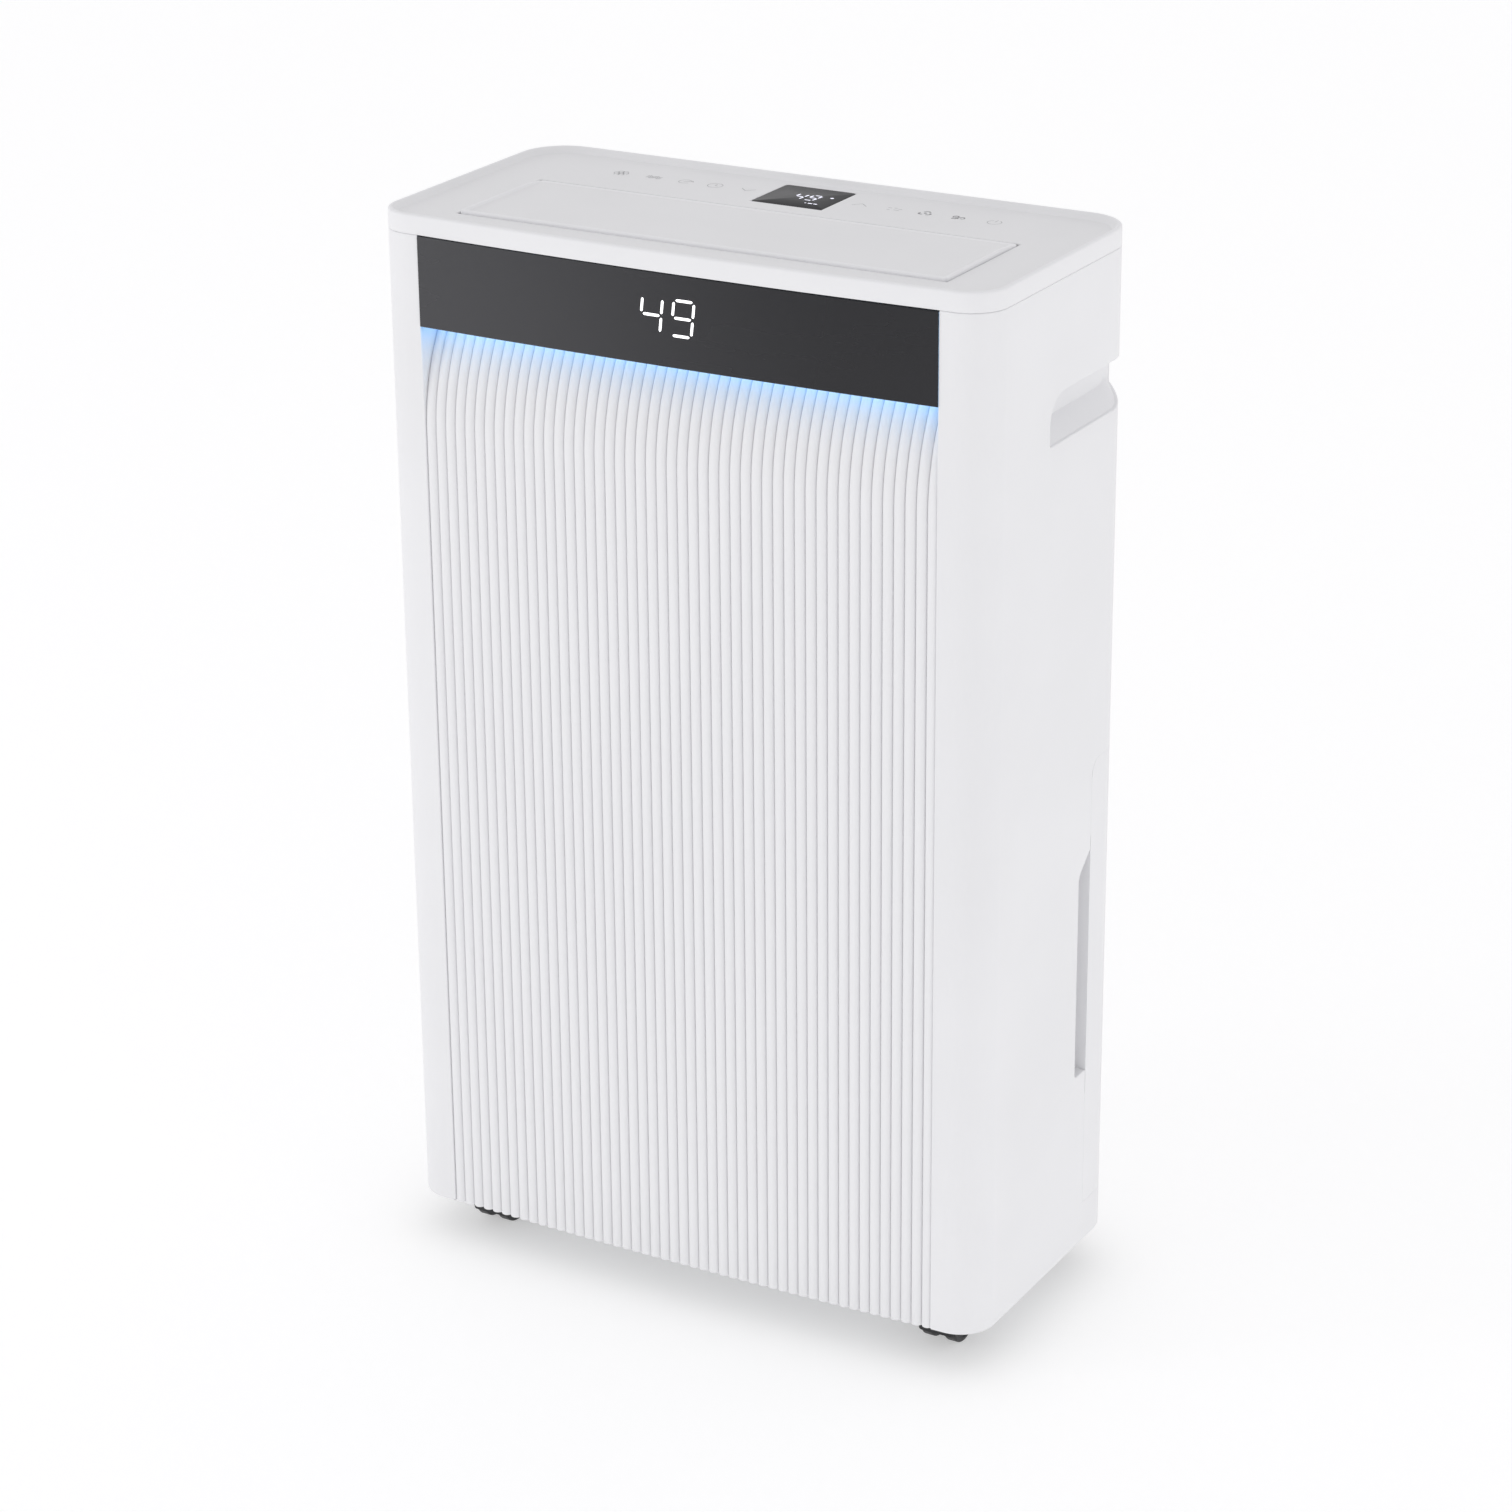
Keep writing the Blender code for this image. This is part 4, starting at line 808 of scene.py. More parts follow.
def fallen(radius: float, ahead: np.ndarray) -> np.ndarray:
    """How far a quarter circle of a radius is still off its crown at a distance from its start."""
    return radius - np.sqrt(np.maximum(0.0, radius ** 2 - np.maximum(0.0, radius - ahead) ** 2))


def arc_stops(start: float, radius: float, steps: int = 8) -> list[float]:
    """Distances from a start at which a quarter circle turns by equal angles."""
    return [start + radius * (1 - math.cos(a)) for a in np.linspace(0, math.pi / 2, steps + 1)]


# ---------------------------------------------------------------- cabinet plan
@dataclass(frozen=True)
class Plan:
    """Plan outline of the cabinet's right half, walked by length from the front column's edge."""

    half: float = 185.0 * MM
    front: float = -85.6 * MM
    rear: float = 89.4 * MM
    panel: float = 156.8 * MM
    front_radius: float = 21.0 * MM
    rear_radius: float = 27.0 * MM
    corner_step: float = 2.1 * MM
    flat_step: float = 60.0 * MM

    @property
    def lengths(self) -> tuple[float, float, float, float]:
        """Lengths of the column face, front corner, side and rear corner."""
        quarter = math.pi / 2
        return (self.half - self.front_radius - self.panel, quarter * self.front_radius,
                self.rear - self.front - self.front_radius - self.rear_radius,
                quarter * self.rear_radius)

    @property
    def end(self) -> float:
        """Length at the middle of the rear face."""
        return sum(self.lengths) + self.half - self.rear_radius

    def at_y(self, y: float) -> float:
        """Length at a depth on the flat side."""
        a, b, _, _ = self.lengths
        return a + b + y - self.front - self.front_radius

    def at_rear_x(self, x: float) -> float:
        """Length at a width on the flat rear face."""
        return self.end - x

    def at_corner_x(self, x: float) -> float:
        """Length at a width on the rear corner."""
        turn = math.acos(1.0 - (self.half - x) / self.rear_radius)
        return sum(self.lengths[:3]) + turn * self.rear_radius

    def wall(self, s: np.ndarray, z: np.ndarray, depth: np.ndarray | float = 0.0) -> tuple:
        """Point on the wall, in x, y and z.

        The heading turns by a quarter on each corner's arc, and depth is taken off along the
        outward normal.

        Args:
            s: length along the outline.
            z: height.
            depth: distance behind the surface.

        Returns:
            x, y and z.
        """
        a, b, c, d = self.lengths
        rf, rr = self.front_radius, self.rear_radius
        one = np.minimum(s, a)
        turn = np.clip(s - a, 0, b) / rf
        side = np.clip(s - a - b, 0, c)
        turn2 = np.clip(s - a - b - c, 0, d) / rr
        rest = np.maximum(s - a - b - c - d, 0)
        x = self.panel + one + rf * np.sin(turn) - rr * (1 - np.cos(turn2)) - rest
        y = self.front + rf * (1 - np.cos(turn)) + side + rr * np.sin(turn2)
        heading = turn + turn2
        return x - np.sin(heading) * depth, y + np.cos(heading) * depth, z + 0 * s

    def samples(self, *stops: float) -> np.ndarray:
        """Lengths along the outline through the corners' ends and the given stops."""
        a, b, c, d = self.lengths
        keys = sorted({round(v, 7) for v in (0.0, a, a + b, a + b + c, a + b + c + d, self.end, *stops)})
        out = []
        for low, high in zip(keys[:-1], keys[1:]):
            middle = (low + high) / 2
            curved = a < middle < a + b or a + b + c < middle < a + b + c + d
            step = self.corner_step if curved else self.flat_step
            count = max(1, int(math.ceil((high - low) / step)))
            out.append(np.linspace(low, high, count + 1)[:-1])
        return np.concatenate([*out, [self.end]])


PLAN = Plan()
UP, DOWN, ONWARD, BACKWARD = (0.0, 1.0), (0.0, -1.0), (1.0, 0.0), (-1.0, 0.0)


def edge_strip(s: np.ndarray, z: np.ndarray, toward: np.ndarray, radius: float,
               depth: float) -> np.ndarray:
    """The rounded edge of an opening in the wall, turning inwards.

    Along each row the angle grows from 0 to a quarter turn: the line moves towards the opening by
    radius times its sine and inwards by radius times one minus its cosine, and the last row goes
    straight in to the depth.

    Args:
        s: lengths of the edge line.
        z: heights of the edge line.
        toward: unit steps into the opening, as (n, 2) in length and height.
        radius: radius of the edge.
        depth: depth of the last row.

    Returns:
        Rows of points.
    """
    a = np.linspace(0, math.pi / 2, 5)[:, None]
    move = np.concatenate([radius * np.sin(a), [[radius]]])
    deep = np.concatenate([radius * (1 - np.cos(a)), [[depth]]])
    return np.stack(PLAN.wall(s[None] + toward[None, :, 0] * move, z[None] + toward[None, :, 1] * move,
                              deep), axis=-1)


def straight_edge(s: np.ndarray | float, z: np.ndarray | float, way: tuple[float, float],
                  radius: float, depth: float) -> np.ndarray:
    """An edge strip along a straight line, whose length or height may be one number.

    Args:
        s: lengths of the edge line.
        z: heights of the edge line.
        way: unit step into the opening, in length and height.
        radius: radius of the edge.
        depth: depth of the last row.

    Returns:
        Rows of points.
    """
    s, z = np.broadcast_arrays(np.asarray(s, float), np.asarray(z, float))
    return edge_strip(s, z, np.tile(way, (len(s), 1)), radius, depth)


def wall_field(s: np.ndarray, low: np.ndarray | float, high: np.ndarray | float,
               depth: float = 0.0) -> np.ndarray:
    """The wall between two height lines over the same lengths, at a depth behind its surface."""
    t = np.array([[0.0, 1.0]])
    low, high = (np.broadcast_to(np.asarray(v, float), s.shape)[:, None] for v in (low, high))
    return np.stack(PLAN.wall(s[:, None] + 0 * t, low * (1 - t) + high * t, depth), axis=-1)


def steps_along(s: np.ndarray, z: np.ndarray, left: bool) -> np.ndarray:
    """Unit steps square to a line in length and height, to its left or right."""
    ds, dz = np.gradient(s), np.gradient(z)
    size = np.maximum(np.hypot(ds, dz), 1e-12)
    sign = 1.0 if left else -1.0
    return np.column_stack([-dz / size, ds / size]) * sign


# ---------------------------------------------------------------- sub-assemblies
@dataclass(frozen=True)
class CabinetShell:
    """The one-piece cabinet: columns, sides and rear strips, with its grip and slot openings."""

    base: float = 25.0 * MM
    top: float = 603.95 * MM
    tank_front: float = 46.4 * MM
    tank_low: float = 49.2 * MM
    tank_high: float = 321.3 * MM
    tank_nose: float = 10.0 * MM
    grille_half: float = 142.0 * MM
    grille_low: float = 341.9 * MM
    grille_high: float = 592.0 * MM
    grip_front: float = -14.6 * MM
    grip_low: float = 515.0 * MM
    grip_high: float = 544.5 * MM
    grip_inner: float = 171.0 * MM
    grip_mouth: float = 186.0 * MM
    ledge_rise: float = 9.0 * MM
    roof_drop: float = 3.0 * MM
    grip_corner: float = 17.0 * MM
    grip_foot: float = 2.5 * MM
    slot_front: float = 32.4 * MM
    slot_low: float = 133.0 * MM
    slot_high: float = 269.0 * MM
    slot_taper: float = 12.0 * MM
    slot_inner: float = 172.0 * MM
    slot_corner: float = 3.0 * MM
    slot_margin: float = 4.0 * MM
    seam_margin: float = 6.0 * MM
    grip_zone: tuple[float, float] = (500.0 * MM, 560.0 * MM)
    grip_close: float = 86.0 * MM
    grip_lead: float = 16.0 * MM
    grip_floor: float = 524.0 * MM
    grip_rise: float = 17.5 * MM
    cove_start: float = 495.0 * MM
    edge: float = 0.7 * MM
    wall: float = 2.5 * MM
    lip: float = 2.0 * MM
    return_edge: float = 0.56 * MM
    return_depth: float = 24.0 * MM
    short_return: float = 4.8 * MM
    post_edge: float = 0.4 * MM
    socket_top: float = 36.0 * MM

    def grip_lines(self, s: np.ndarray) -> tuple[np.ndarray, np.ndarray]:
        """Lower and upper edge of the grip opening.

        The ledge rises and the roof drops evenly over the pocket's width, so both edges
        follow the wall's x round the rear corner; the front ends are quarter circles.

        Args:
            s: lengths along the wall, from the opening's front end.

        Returns:
            Heights of both edges.
        """
        x = PLAN.wall(s, 0.0 * s)[0]
        inward = (self.grip_mouth - x) / (self.grip_mouth - self.grip_inner)
        ahead = s - s[0]
        low = self.grip_low + self.ledge_rise * inward + fallen(self.grip_foot, ahead)
        return low, self.grip_high - self.roof_drop * inward - fallen(self.grip_corner, ahead)

    def slot_lines(self, s: np.ndarray) -> tuple[np.ndarray, np.ndarray]:
        """Lower and upper edge of the finger slot, whose top slopes down towards the front."""
        ahead = s - s[0]
        taper = self.slot_taper * (1.0 - ahead / (self.tank_front - self.slot_front))
        rise = fallen(self.slot_corner, ahead)
        return self.slot_low + rise, self.slot_high - taper - rise

    def tank_line(self, s: np.ndarray) -> np.ndarray:
        """Upper edge of the tank bay, with its rounded front corner."""
        return self.tank_high - fallen(self.tank_nose, s - s[0])

    def opening(self, s: np.ndarray, low: np.ndarray, high: np.ndarray) -> tuple[np.ndarray, ...]:
        """The edge of an opening that is open at its rear end, walked rear, front, rear."""
        front = np.linspace(low[0], high[0], 4)[1:-1]
        return (np.concatenate([s[::-1], np.full(len(front), s[0]), s]),
                np.concatenate([low[::-1], front, high]))

    def grip_back(self, y: np.ndarray) -> np.ndarray:
        """Depth on the grip pocket's flat end for a depth on its mouth."""
        share = (self.grip_close - y) / (self.grip_close - self.grip_front)
        return y + self.grip_lead * np.clip(share, 0, 1)

    def grip_level(self, z: np.ndarray) -> np.ndarray:
        """Height on the grip pocket's flat end for a height on its mouth."""
        return self.grip_floor + (z - self.grip_low) * self.grip_rise / (self.grip_high - self.grip_low)

    def build(self) -> None:
        """Builds the shell with its edges, and the pockets behind its openings."""
        s_tank, s_slot = PLAN.at_y(self.tank_front), PLAN.at_y(self.slot_front)
        s_grip, s_out = PLAN.at_y(self.grip_front), PLAN.at_corner_x(self.grip_inner)
        s_bars = PLAN.at_rear_x(self.grille_half)
        s = PLAN.samples(*arc_stops(s_grip, self.grip_corner), *arc_stops(s_tank, self.tank_nose),
                         *arc_stops(s_slot, self.slot_corner, 4), *arc_stops(s_grip, self.grip_foot, 4),
                         s_slot, s_tank, s_out, s_bars)

        def part(low: float, high: float) -> np.ndarray:
            """The samples from one length to another."""
            return s[(s > low - NEAR) & (s < high + NEAR)]

        shell = Piece("cabinet_shell", "cabinet", Stock.WHITE, Stock.LIT_RIBS, stands_for=("cabinet",))
        before, behind = part(0, s_tank), part(s_tank, PLAN.end)
        roof = self.tank_line(behind)
        pocket, slot = part(s_grip, s_out), part(s_slot, s_tank)
        low, high = self.grip_lines(pocket)
        slot_low, slot_high = self.slot_lines(slot)
        under, over = self.slot_low - self.slot_margin, self.slot_high + self.slot_margin
        nose, seam = self.tank_high - self.tank_nose, self.tank_high + self.seam_margin
        to_slot, to_grip, after = part(0, s_slot), part(0, s_grip), part(s_out, s_bars)
        to_bars, (zone_low, zone_high) = part(0, s_bars), self.grip_zone
        for span, *levels in (
                (s, self.base + self.edge, self.tank_low),
                (to_slot, self.tank_low, under, slot_low[0], slot_high[0], over, nose),
                (slot, self.tank_low, under, slot_low), (slot, slot_high, over, nose),
                (before, nose, seam), (behind, roof, seam), (s, seam, self.grille_low),
                (to_bars, self.grille_low, zone_low), (to_grip, zone_low, low[0]),
                (to_grip, *np.linspace(low[0], high[0], 4)), (to_grip, high[0], zone_high),
                (pocket, zone_low, low), (pocket, high, zone_high),
                (after, zone_low, low[-1], high[-1], zone_high),
                (to_bars, zone_high, self.grille_high), (s, self.grille_high, self.top - self.edge)):
            for lower, upper in zip(levels[:-1], levels[1:]):
                shell.patch(wall_field(span, lower, upper))

        shell.patch(straight_edge(s, self.base + self.edge, DOWN, self.edge, self.wall))
        shell.patch(straight_edge(s, self.top - self.edge, UP, self.edge, self.wall), flip=True)
        upright = np.linspace(roof[0], self.tank_low, 16)[1:]
        rim_s = np.concatenate([behind[::-1], np.full(len(upright), s_tank)])
        rim_z = np.concatenate([roof[::-1], upright])
        keep = np.concatenate([[True], np.hypot(np.diff(rim_s), np.diff(rim_z)) > 1e-7])
        rim_s, rim_z = rim_s[keep], rim_z[keep]
        toward = steps_along(rim_s, rim_z, True)
        above = (rim_s > s_tank + NEAR) | (rim_z > slot_high[-1] - NEAR)
        below = (rim_s < s_tank + NEAR) & (rim_z < slot_low[-1] + NEAR)
        for side in (above, below):
            shell.patch(edge_strip(rim_s[side], rim_z[side], toward[side], self.edge, self.wall),
                        flip=True)
        shell.patch(straight_edge(behind, self.tank_low, UP, self.edge, self.wall), flip=True)
        window = part(s_bars, PLAN.end)
        shell.patch(straight_edge(window, self.grille_low, UP, self.edge, self.wall), flip=True)
        shell.patch(straight_edge(window, self.grille_high, DOWN, self.edge, self.wall))
        jamb = np.linspace(self.grille_low, self.grille_high, 5)
        shell.patch(straight_edge(s_bars, jamb, ONWARD, self.edge, self.wall))
        pocket_s, pocket_z = self.opening(pocket, low, high)
        slot_s, slot_z = self.opening(slot, slot_low, slot_high)
        for line_s, line_z in ((pocket_s, pocket_z), (slot_s, slot_z)):
            shell.patch(edge_strip(line_s, line_z, steps_along(line_s, line_z, False), self.edge,
                                   self.lip))
        beside_caster = (self.base + self.edge, self.socket_top)
        above_caster = (self.socket_top, self.cove_start, self.top - self.edge)
        # the returns beside the ribs take the ribs' finish with its painted glow of the light strip
        for heights, depth in ((beside_caster, self.short_return), (above_caster, self.return_depth)):
            shell.patch(straight_edge(0.0, np.array(heights), BACKWARD, self.return_edge, depth),
                        finish=1, flip=True)
        post = np.linspace(low[-1], high[-1], 3)
        shell.patch(straight_edge(s_out, post, BACKWARD, self.post_edge, self.wall), flip=True)
        shell.mirrored().build()
        self.build_pocket("hand_grip", pocket_s, pocket_z, self.grip_inner, self.grip_back,
                          self.grip_level)
        self.build_pocket("tank_grip", slot_s, slot_z, self.slot_inner,
                          lambda y: y + 0.6 * MM, lambda z: z)

    def build_pocket(self, name: str, s: np.ndarray, z: np.ndarray, inner: float,
                     back: Callable[[np.ndarray], np.ndarray],
                     level: Callable[[np.ndarray], np.ndarray]) -> None:
        """Builds the pocket behind an opening on both sides.

        Straight lines run from the opening's inner edge to the same line moved onto the pocket's
        flat end, and the end is filled between its lower and upper halves.

        Args:
            name: the CAD node's name without its side.
            s: lengths of the opening's edge.
            z: heights of the opening's edge.
            inner: x of the pocket's flat end.
            back: the depth on the flat end for a depth on the edge.
            level: the height on the flat end for a height on the edge.
        """
        toward = steps_along(s, z, False)
        mouth = edge_strip(s, z, toward, self.edge, self.lip)[-1]
        mouth[:, 0] = np.maximum(mouth[:, 0], inner + 0.02 * MM)
        bottom = np.column_stack([np.full(len(s), inner), back(mouth[:, 1]), level(mouth[:, 2])])
        side = ruled(mouth, bottom, 8)
        half = len(s) // 2
        low, high = bottom[:half], bottom[::-1][:half]
        for side_name, sign in (("left", -1.0), ("right", 1.0)):
            liner = Piece(f"{name}_{side_name}_liner", "cabinet", Stock.WHITE,
                          stands_for=(f"{name}_{side_name}",), smooth=50.0)
            turn = (sign, 1.0, 1.0)
            for points in (side, ruled(low, high, 2)):
                liner.patch(points * turn, flip=sign < 0)
            liner.build()


@dataclass(frozen=True)
class RibbedFront:
    """The ribbed front panel with its cove, the display panel, the light strip and the digits."""

    half: float = 156.5 * MM
    crown: float = 3.0 * MM
    ribs: int = 49
    rib_height: float = 2.8 * MM
    steps: int = 20
    front: float = -85.6 * MM
    base: float = 25.0 * MM
    cove_start: float = 495.5 * MM
    cove_radius: float = 107.0 * MM
    cove_angle: float = 34.0
    cove_rows: int = 22
    fullness: float = 0.58
    plain_levels: tuple[float, ...] = (25.6 * MM, 85.0 * MM, 0.2, 0.33, 0.42, 0.47)
    back: float = 3.9 * MM
    panel_low: float = 553.5 * MM
    panel_high: float = 603.6 * MM
    panel_proud: float = 0.5 * MM
    panel_thick: float = 4.0 * MM
    panel_round: float = 0.9 * MM

    def bow(self, x: np.ndarray) -> np.ndarray:
        """How far the front bows out: the crown times one minus the squared share of the width."""
        return self.crown * (1.0 - (x / (self.half + 0.3 * MM)) ** 2)

    def rib(self, share: np.ndarray) -> np.ndarray:
        """Depth behind a rib's crest for a share of half its pitch.

        One minus a power of one minus the share squared: full and round on the crest, with a
        narrow groove where two ribs meet.
        """
        return self.rib_height * (1.0 - (1.0 - np.abs(share) ** 2.0) ** self.fullness)

    def build_ribs(self) -> None:
        """Builds the ribs.

        Across, each rib repeats its profile; upwards, the surface is straight and then turns back
        on the cove's radius about an axis behind the panel.
        """
        pitch = 2 * self.half / self.ribs
        share = np.sin(np.linspace(-math.pi / 2, math.pi / 2, self.steps + 1))[:-1]
        x = (-self.half + pitch * (np.arange(self.ribs)[:, None] + 0.5) + share[None] * pitch / 2).ravel()
        x = np.append(x, self.half)
        local = np.append(np.tile(share, self.ribs), -1.0)
        depth = self.rib(local)
        turn = np.radians(np.linspace(0, self.cove_angle, self.cove_rows))
        up = np.concatenate([np.zeros(len(self.plain_levels)), turn])
        height = np.concatenate([self.plain_levels, np.full(len(turn), self.cove_start)])
        reach = self.cove_radius + self.bow(x) - depth
        axis = self.front + self.cove_radius
        y = axis - reach[None] * np.cos(up)[:, None]
        z = height[:, None] + reach[None] * np.sin(up)[:, None]
        face = np.stack([x[None] + 0 * y, y, z], axis=-1)
        crest = self.front - self.bow(x)
        rear = np.stack([x, crest + self.back, np.full(len(x), self.base)], axis=-1)
        foot = shifted(face[0], 0.25 * MM, self.base + 0.15 * MM)
        toe = shifted(face[0], 0.8 * MM, self.base)
        # the ribs' finish carries the painted glow of the light strip
        panel = Piece("ribbed_panel", "cabinet", Stock.LIT_RIBS, stands_for=("front_panel",),
                      smooth=75.0)
        panel.patch(np.concatenate([[rear, toe, foot], face]), flip=True)
        panel.patch(np.stack([face[-1], shifted(face[-1], 2.4 * MM)]), flip=True)
        panel.build()

    def build_panel(self) -> None:
        """Builds the display panel: a rounded section carried across the bowed front."""
        outer = self.front - self.panel_proud
        t = self.panel_thick
        section = soft([(t, self.panel_low + 0.3 * MM), (0.0, self.panel_low), (0.0, self.panel_high),
                        (t, self.panel_high)], self.panel_round)
        depth, z = np.array(section).T
        x = spread(-self.half, self.half, step=6.0 * MM)
        face = grid(x, np.arange(len(z)), lambda u, i: (
            u, outer - self.bow(u) + depth[i.astype(int)], z[i.astype(int)]))
        panel = Piece("display_panel_gloss", "cabinet", Stock.BLACK_GLOSS, stands_for=("display_panel",),
                      smooth=50.0)
        panel.patch(face)
        panel.patch(ruled(face[:, -1], face[:, 0]).transpose(1, 0, 2))
        for end, flip in ((face[0], True), (face[-1], False)):
            middle = np.broadcast_to(end.mean(axis=0), end.shape)
            panel.patch(np.stack([end, middle]), flip=not flip)
        panel.build()

    def build_strip(self) -> None:
        """Builds the frosted light strip behind the panel's lower edge."""
        low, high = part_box("light_bar")
        section = rounded_loop((high.y - low.y) / 2, (high.z - low.z) / 2, 1.5 * MM,
                               ((high.y + low.y) / 2, (high.z + low.z) / 2), corner=4)
        points = np.column_stack([np.zeros(len(section)), section])
        strip = Piece("light_strip", "cabinet", Stock.STRIP, stands_for=("light_bar",))
        strip.ring(bar(points, (low.x, 0, 0), (high.x, 0, 0)), flip=True)
        strip.build()

    def build(self) -> None:
        """Builds the front's pieces."""
        self.build_ribs()
        self.build_panel()
        self.build_strip()
        Digits().build_front(self)


SEGMENTS: dict[str, tuple[float, float, float, float]] = {
    "a": (0, 2, 1, 2), "b": (1, 1, 1, 2), "c": (1, 0, 1, 1), "d": (0, 0, 1, 0),
    "e": (0, 0, 0, 1), "f": (0, 1, 0, 2), "g": (0, 1, 1, 1)}
SHAPES: dict[str, str] = {"4": "fgbc", "9": "abcdfg"}


@dataclass(frozen=True)
class Digits:
    """Seven-segment digits with slim mitred segments."""

    text: str = "49"

    def segments(self, width: float, height: float, stroke: float, gap: float,
                 lean: float) -> list[np.ndarray]:
        """Flat outlines of the lit segments.

        A segment is a strip along its axis whose half width grows over its first and last tenth,
        so its ends are mitred, and everything leans by a share of its height.

        Args:
            width: width of one digit between segment axes.
            height: height of one digit between segment axes.
            stroke: width of a segment.
            gap: space between the digits' axes.
            lean: slant as a share of height.

        Returns:
            Arrays of (n, 2, 2): along the segment, its two sides, and x and z round the middle.
        """
        out = []
        total = len(self.text) * width + (len(self.text) - 1) * gap
        t = np.array([0.0, 0.045, 0.1, 0.3, 0.5, 0.7, 0.9, 0.955, 1.0])
        broad = np.array([0.28, 0.75, 1.0, 1.0, 1.0, 1.0, 1.0, 0.75, 0.28])
        for index, letter in enumerate(self.text):
            left = -total / 2 + index * (width + gap)
            for name in SHAPES[letter]:
                x0, z0, x1, z1 = SEGMENTS[name]
                a = np.array([left + x0 * width, (z0 - 1) * height / 2])
                b = np.array([left + x1 * width, (z1 - 1) * height / 2])
                way = (b - a) / np.linalg.norm(b - a)
                a, b = a + way * stroke * 0.7, b - way * stroke * 0.7
                middle = a + t[:, None] * (b - a)
                side = np.array([-way[1], way[0]]) * stroke / 2
                lines = np.stack([middle - side * broad[:, None], middle + side * broad[:, None]], axis=1)
                lines[..., 0] += lean * lines[..., 1]
                out.append(lines)
        return out

    def build_front(self, front: RibbedFront) -> None:
        """Builds the large digits on the display panel."""
        digits = Piece("front_digits", "cabinet", Stock.DIGITS)
        for flat in self.segments(width=12.1 * MM, height=19.0 * MM, stroke=1.5 * MM, gap=6.8 * MM,
                                  lean=0.11):
            x, z = flat[..., 0] + 0.2 * MM, flat[..., 1] + 580.8 * MM
            y = front.front - front.panel_proud - front.bow(x) - 0.06 * MM
            digits.patch(np.stack([x, y, z], axis=-1), flip=True)
        digits.build()

    def build_top(self, centre: tuple[float, float], level: float) -> None:
        """Builds the small digits, the dot and the unit mark in the top window."""
        digits = Piece("top_digits", "cabinet", Stock.DIGITS_SMALL)
        for flat in self.segments(width=5.2 * MM, height=10.5 * MM, stroke=1.0 * MM, gap=3.0 * MM,
                                  lean=0.12):
            digits.patch(np.stack([flat[..., 0] + centre[0], flat[..., 1] + centre[1],
                                   np.full(flat.shape[:2], level)], axis=-1), flip=True)
        spot = np.array([[0.02 * MM], [1.0 * MM]])
        a = np.arange(16) * math.tau / 16
        for dx, dy, size in ((13.6 * MM, 4.0 * MM, 1.0), (5.4 * MM, -11.2 * MM, 0.55)):
            digits.ring(np.stack([centre[0] + dx + size * spot * np.cos(a),
                                  centre[1] + dy + size * spot * np.sin(a),
                                  np.full((2, 16), level)], axis=-1))
        for dx, w in ((7.0 * MM, 2.6 * MM), (10.4 * MM, 2.2 * MM)):
            digits.patch(grid(np.array([dx, dx + w]), np.array([-11.8 * MM, -10.6 * MM]),
                              lambda u, v: (centre[0] + u, centre[1] + v, level)))
        digits.build()


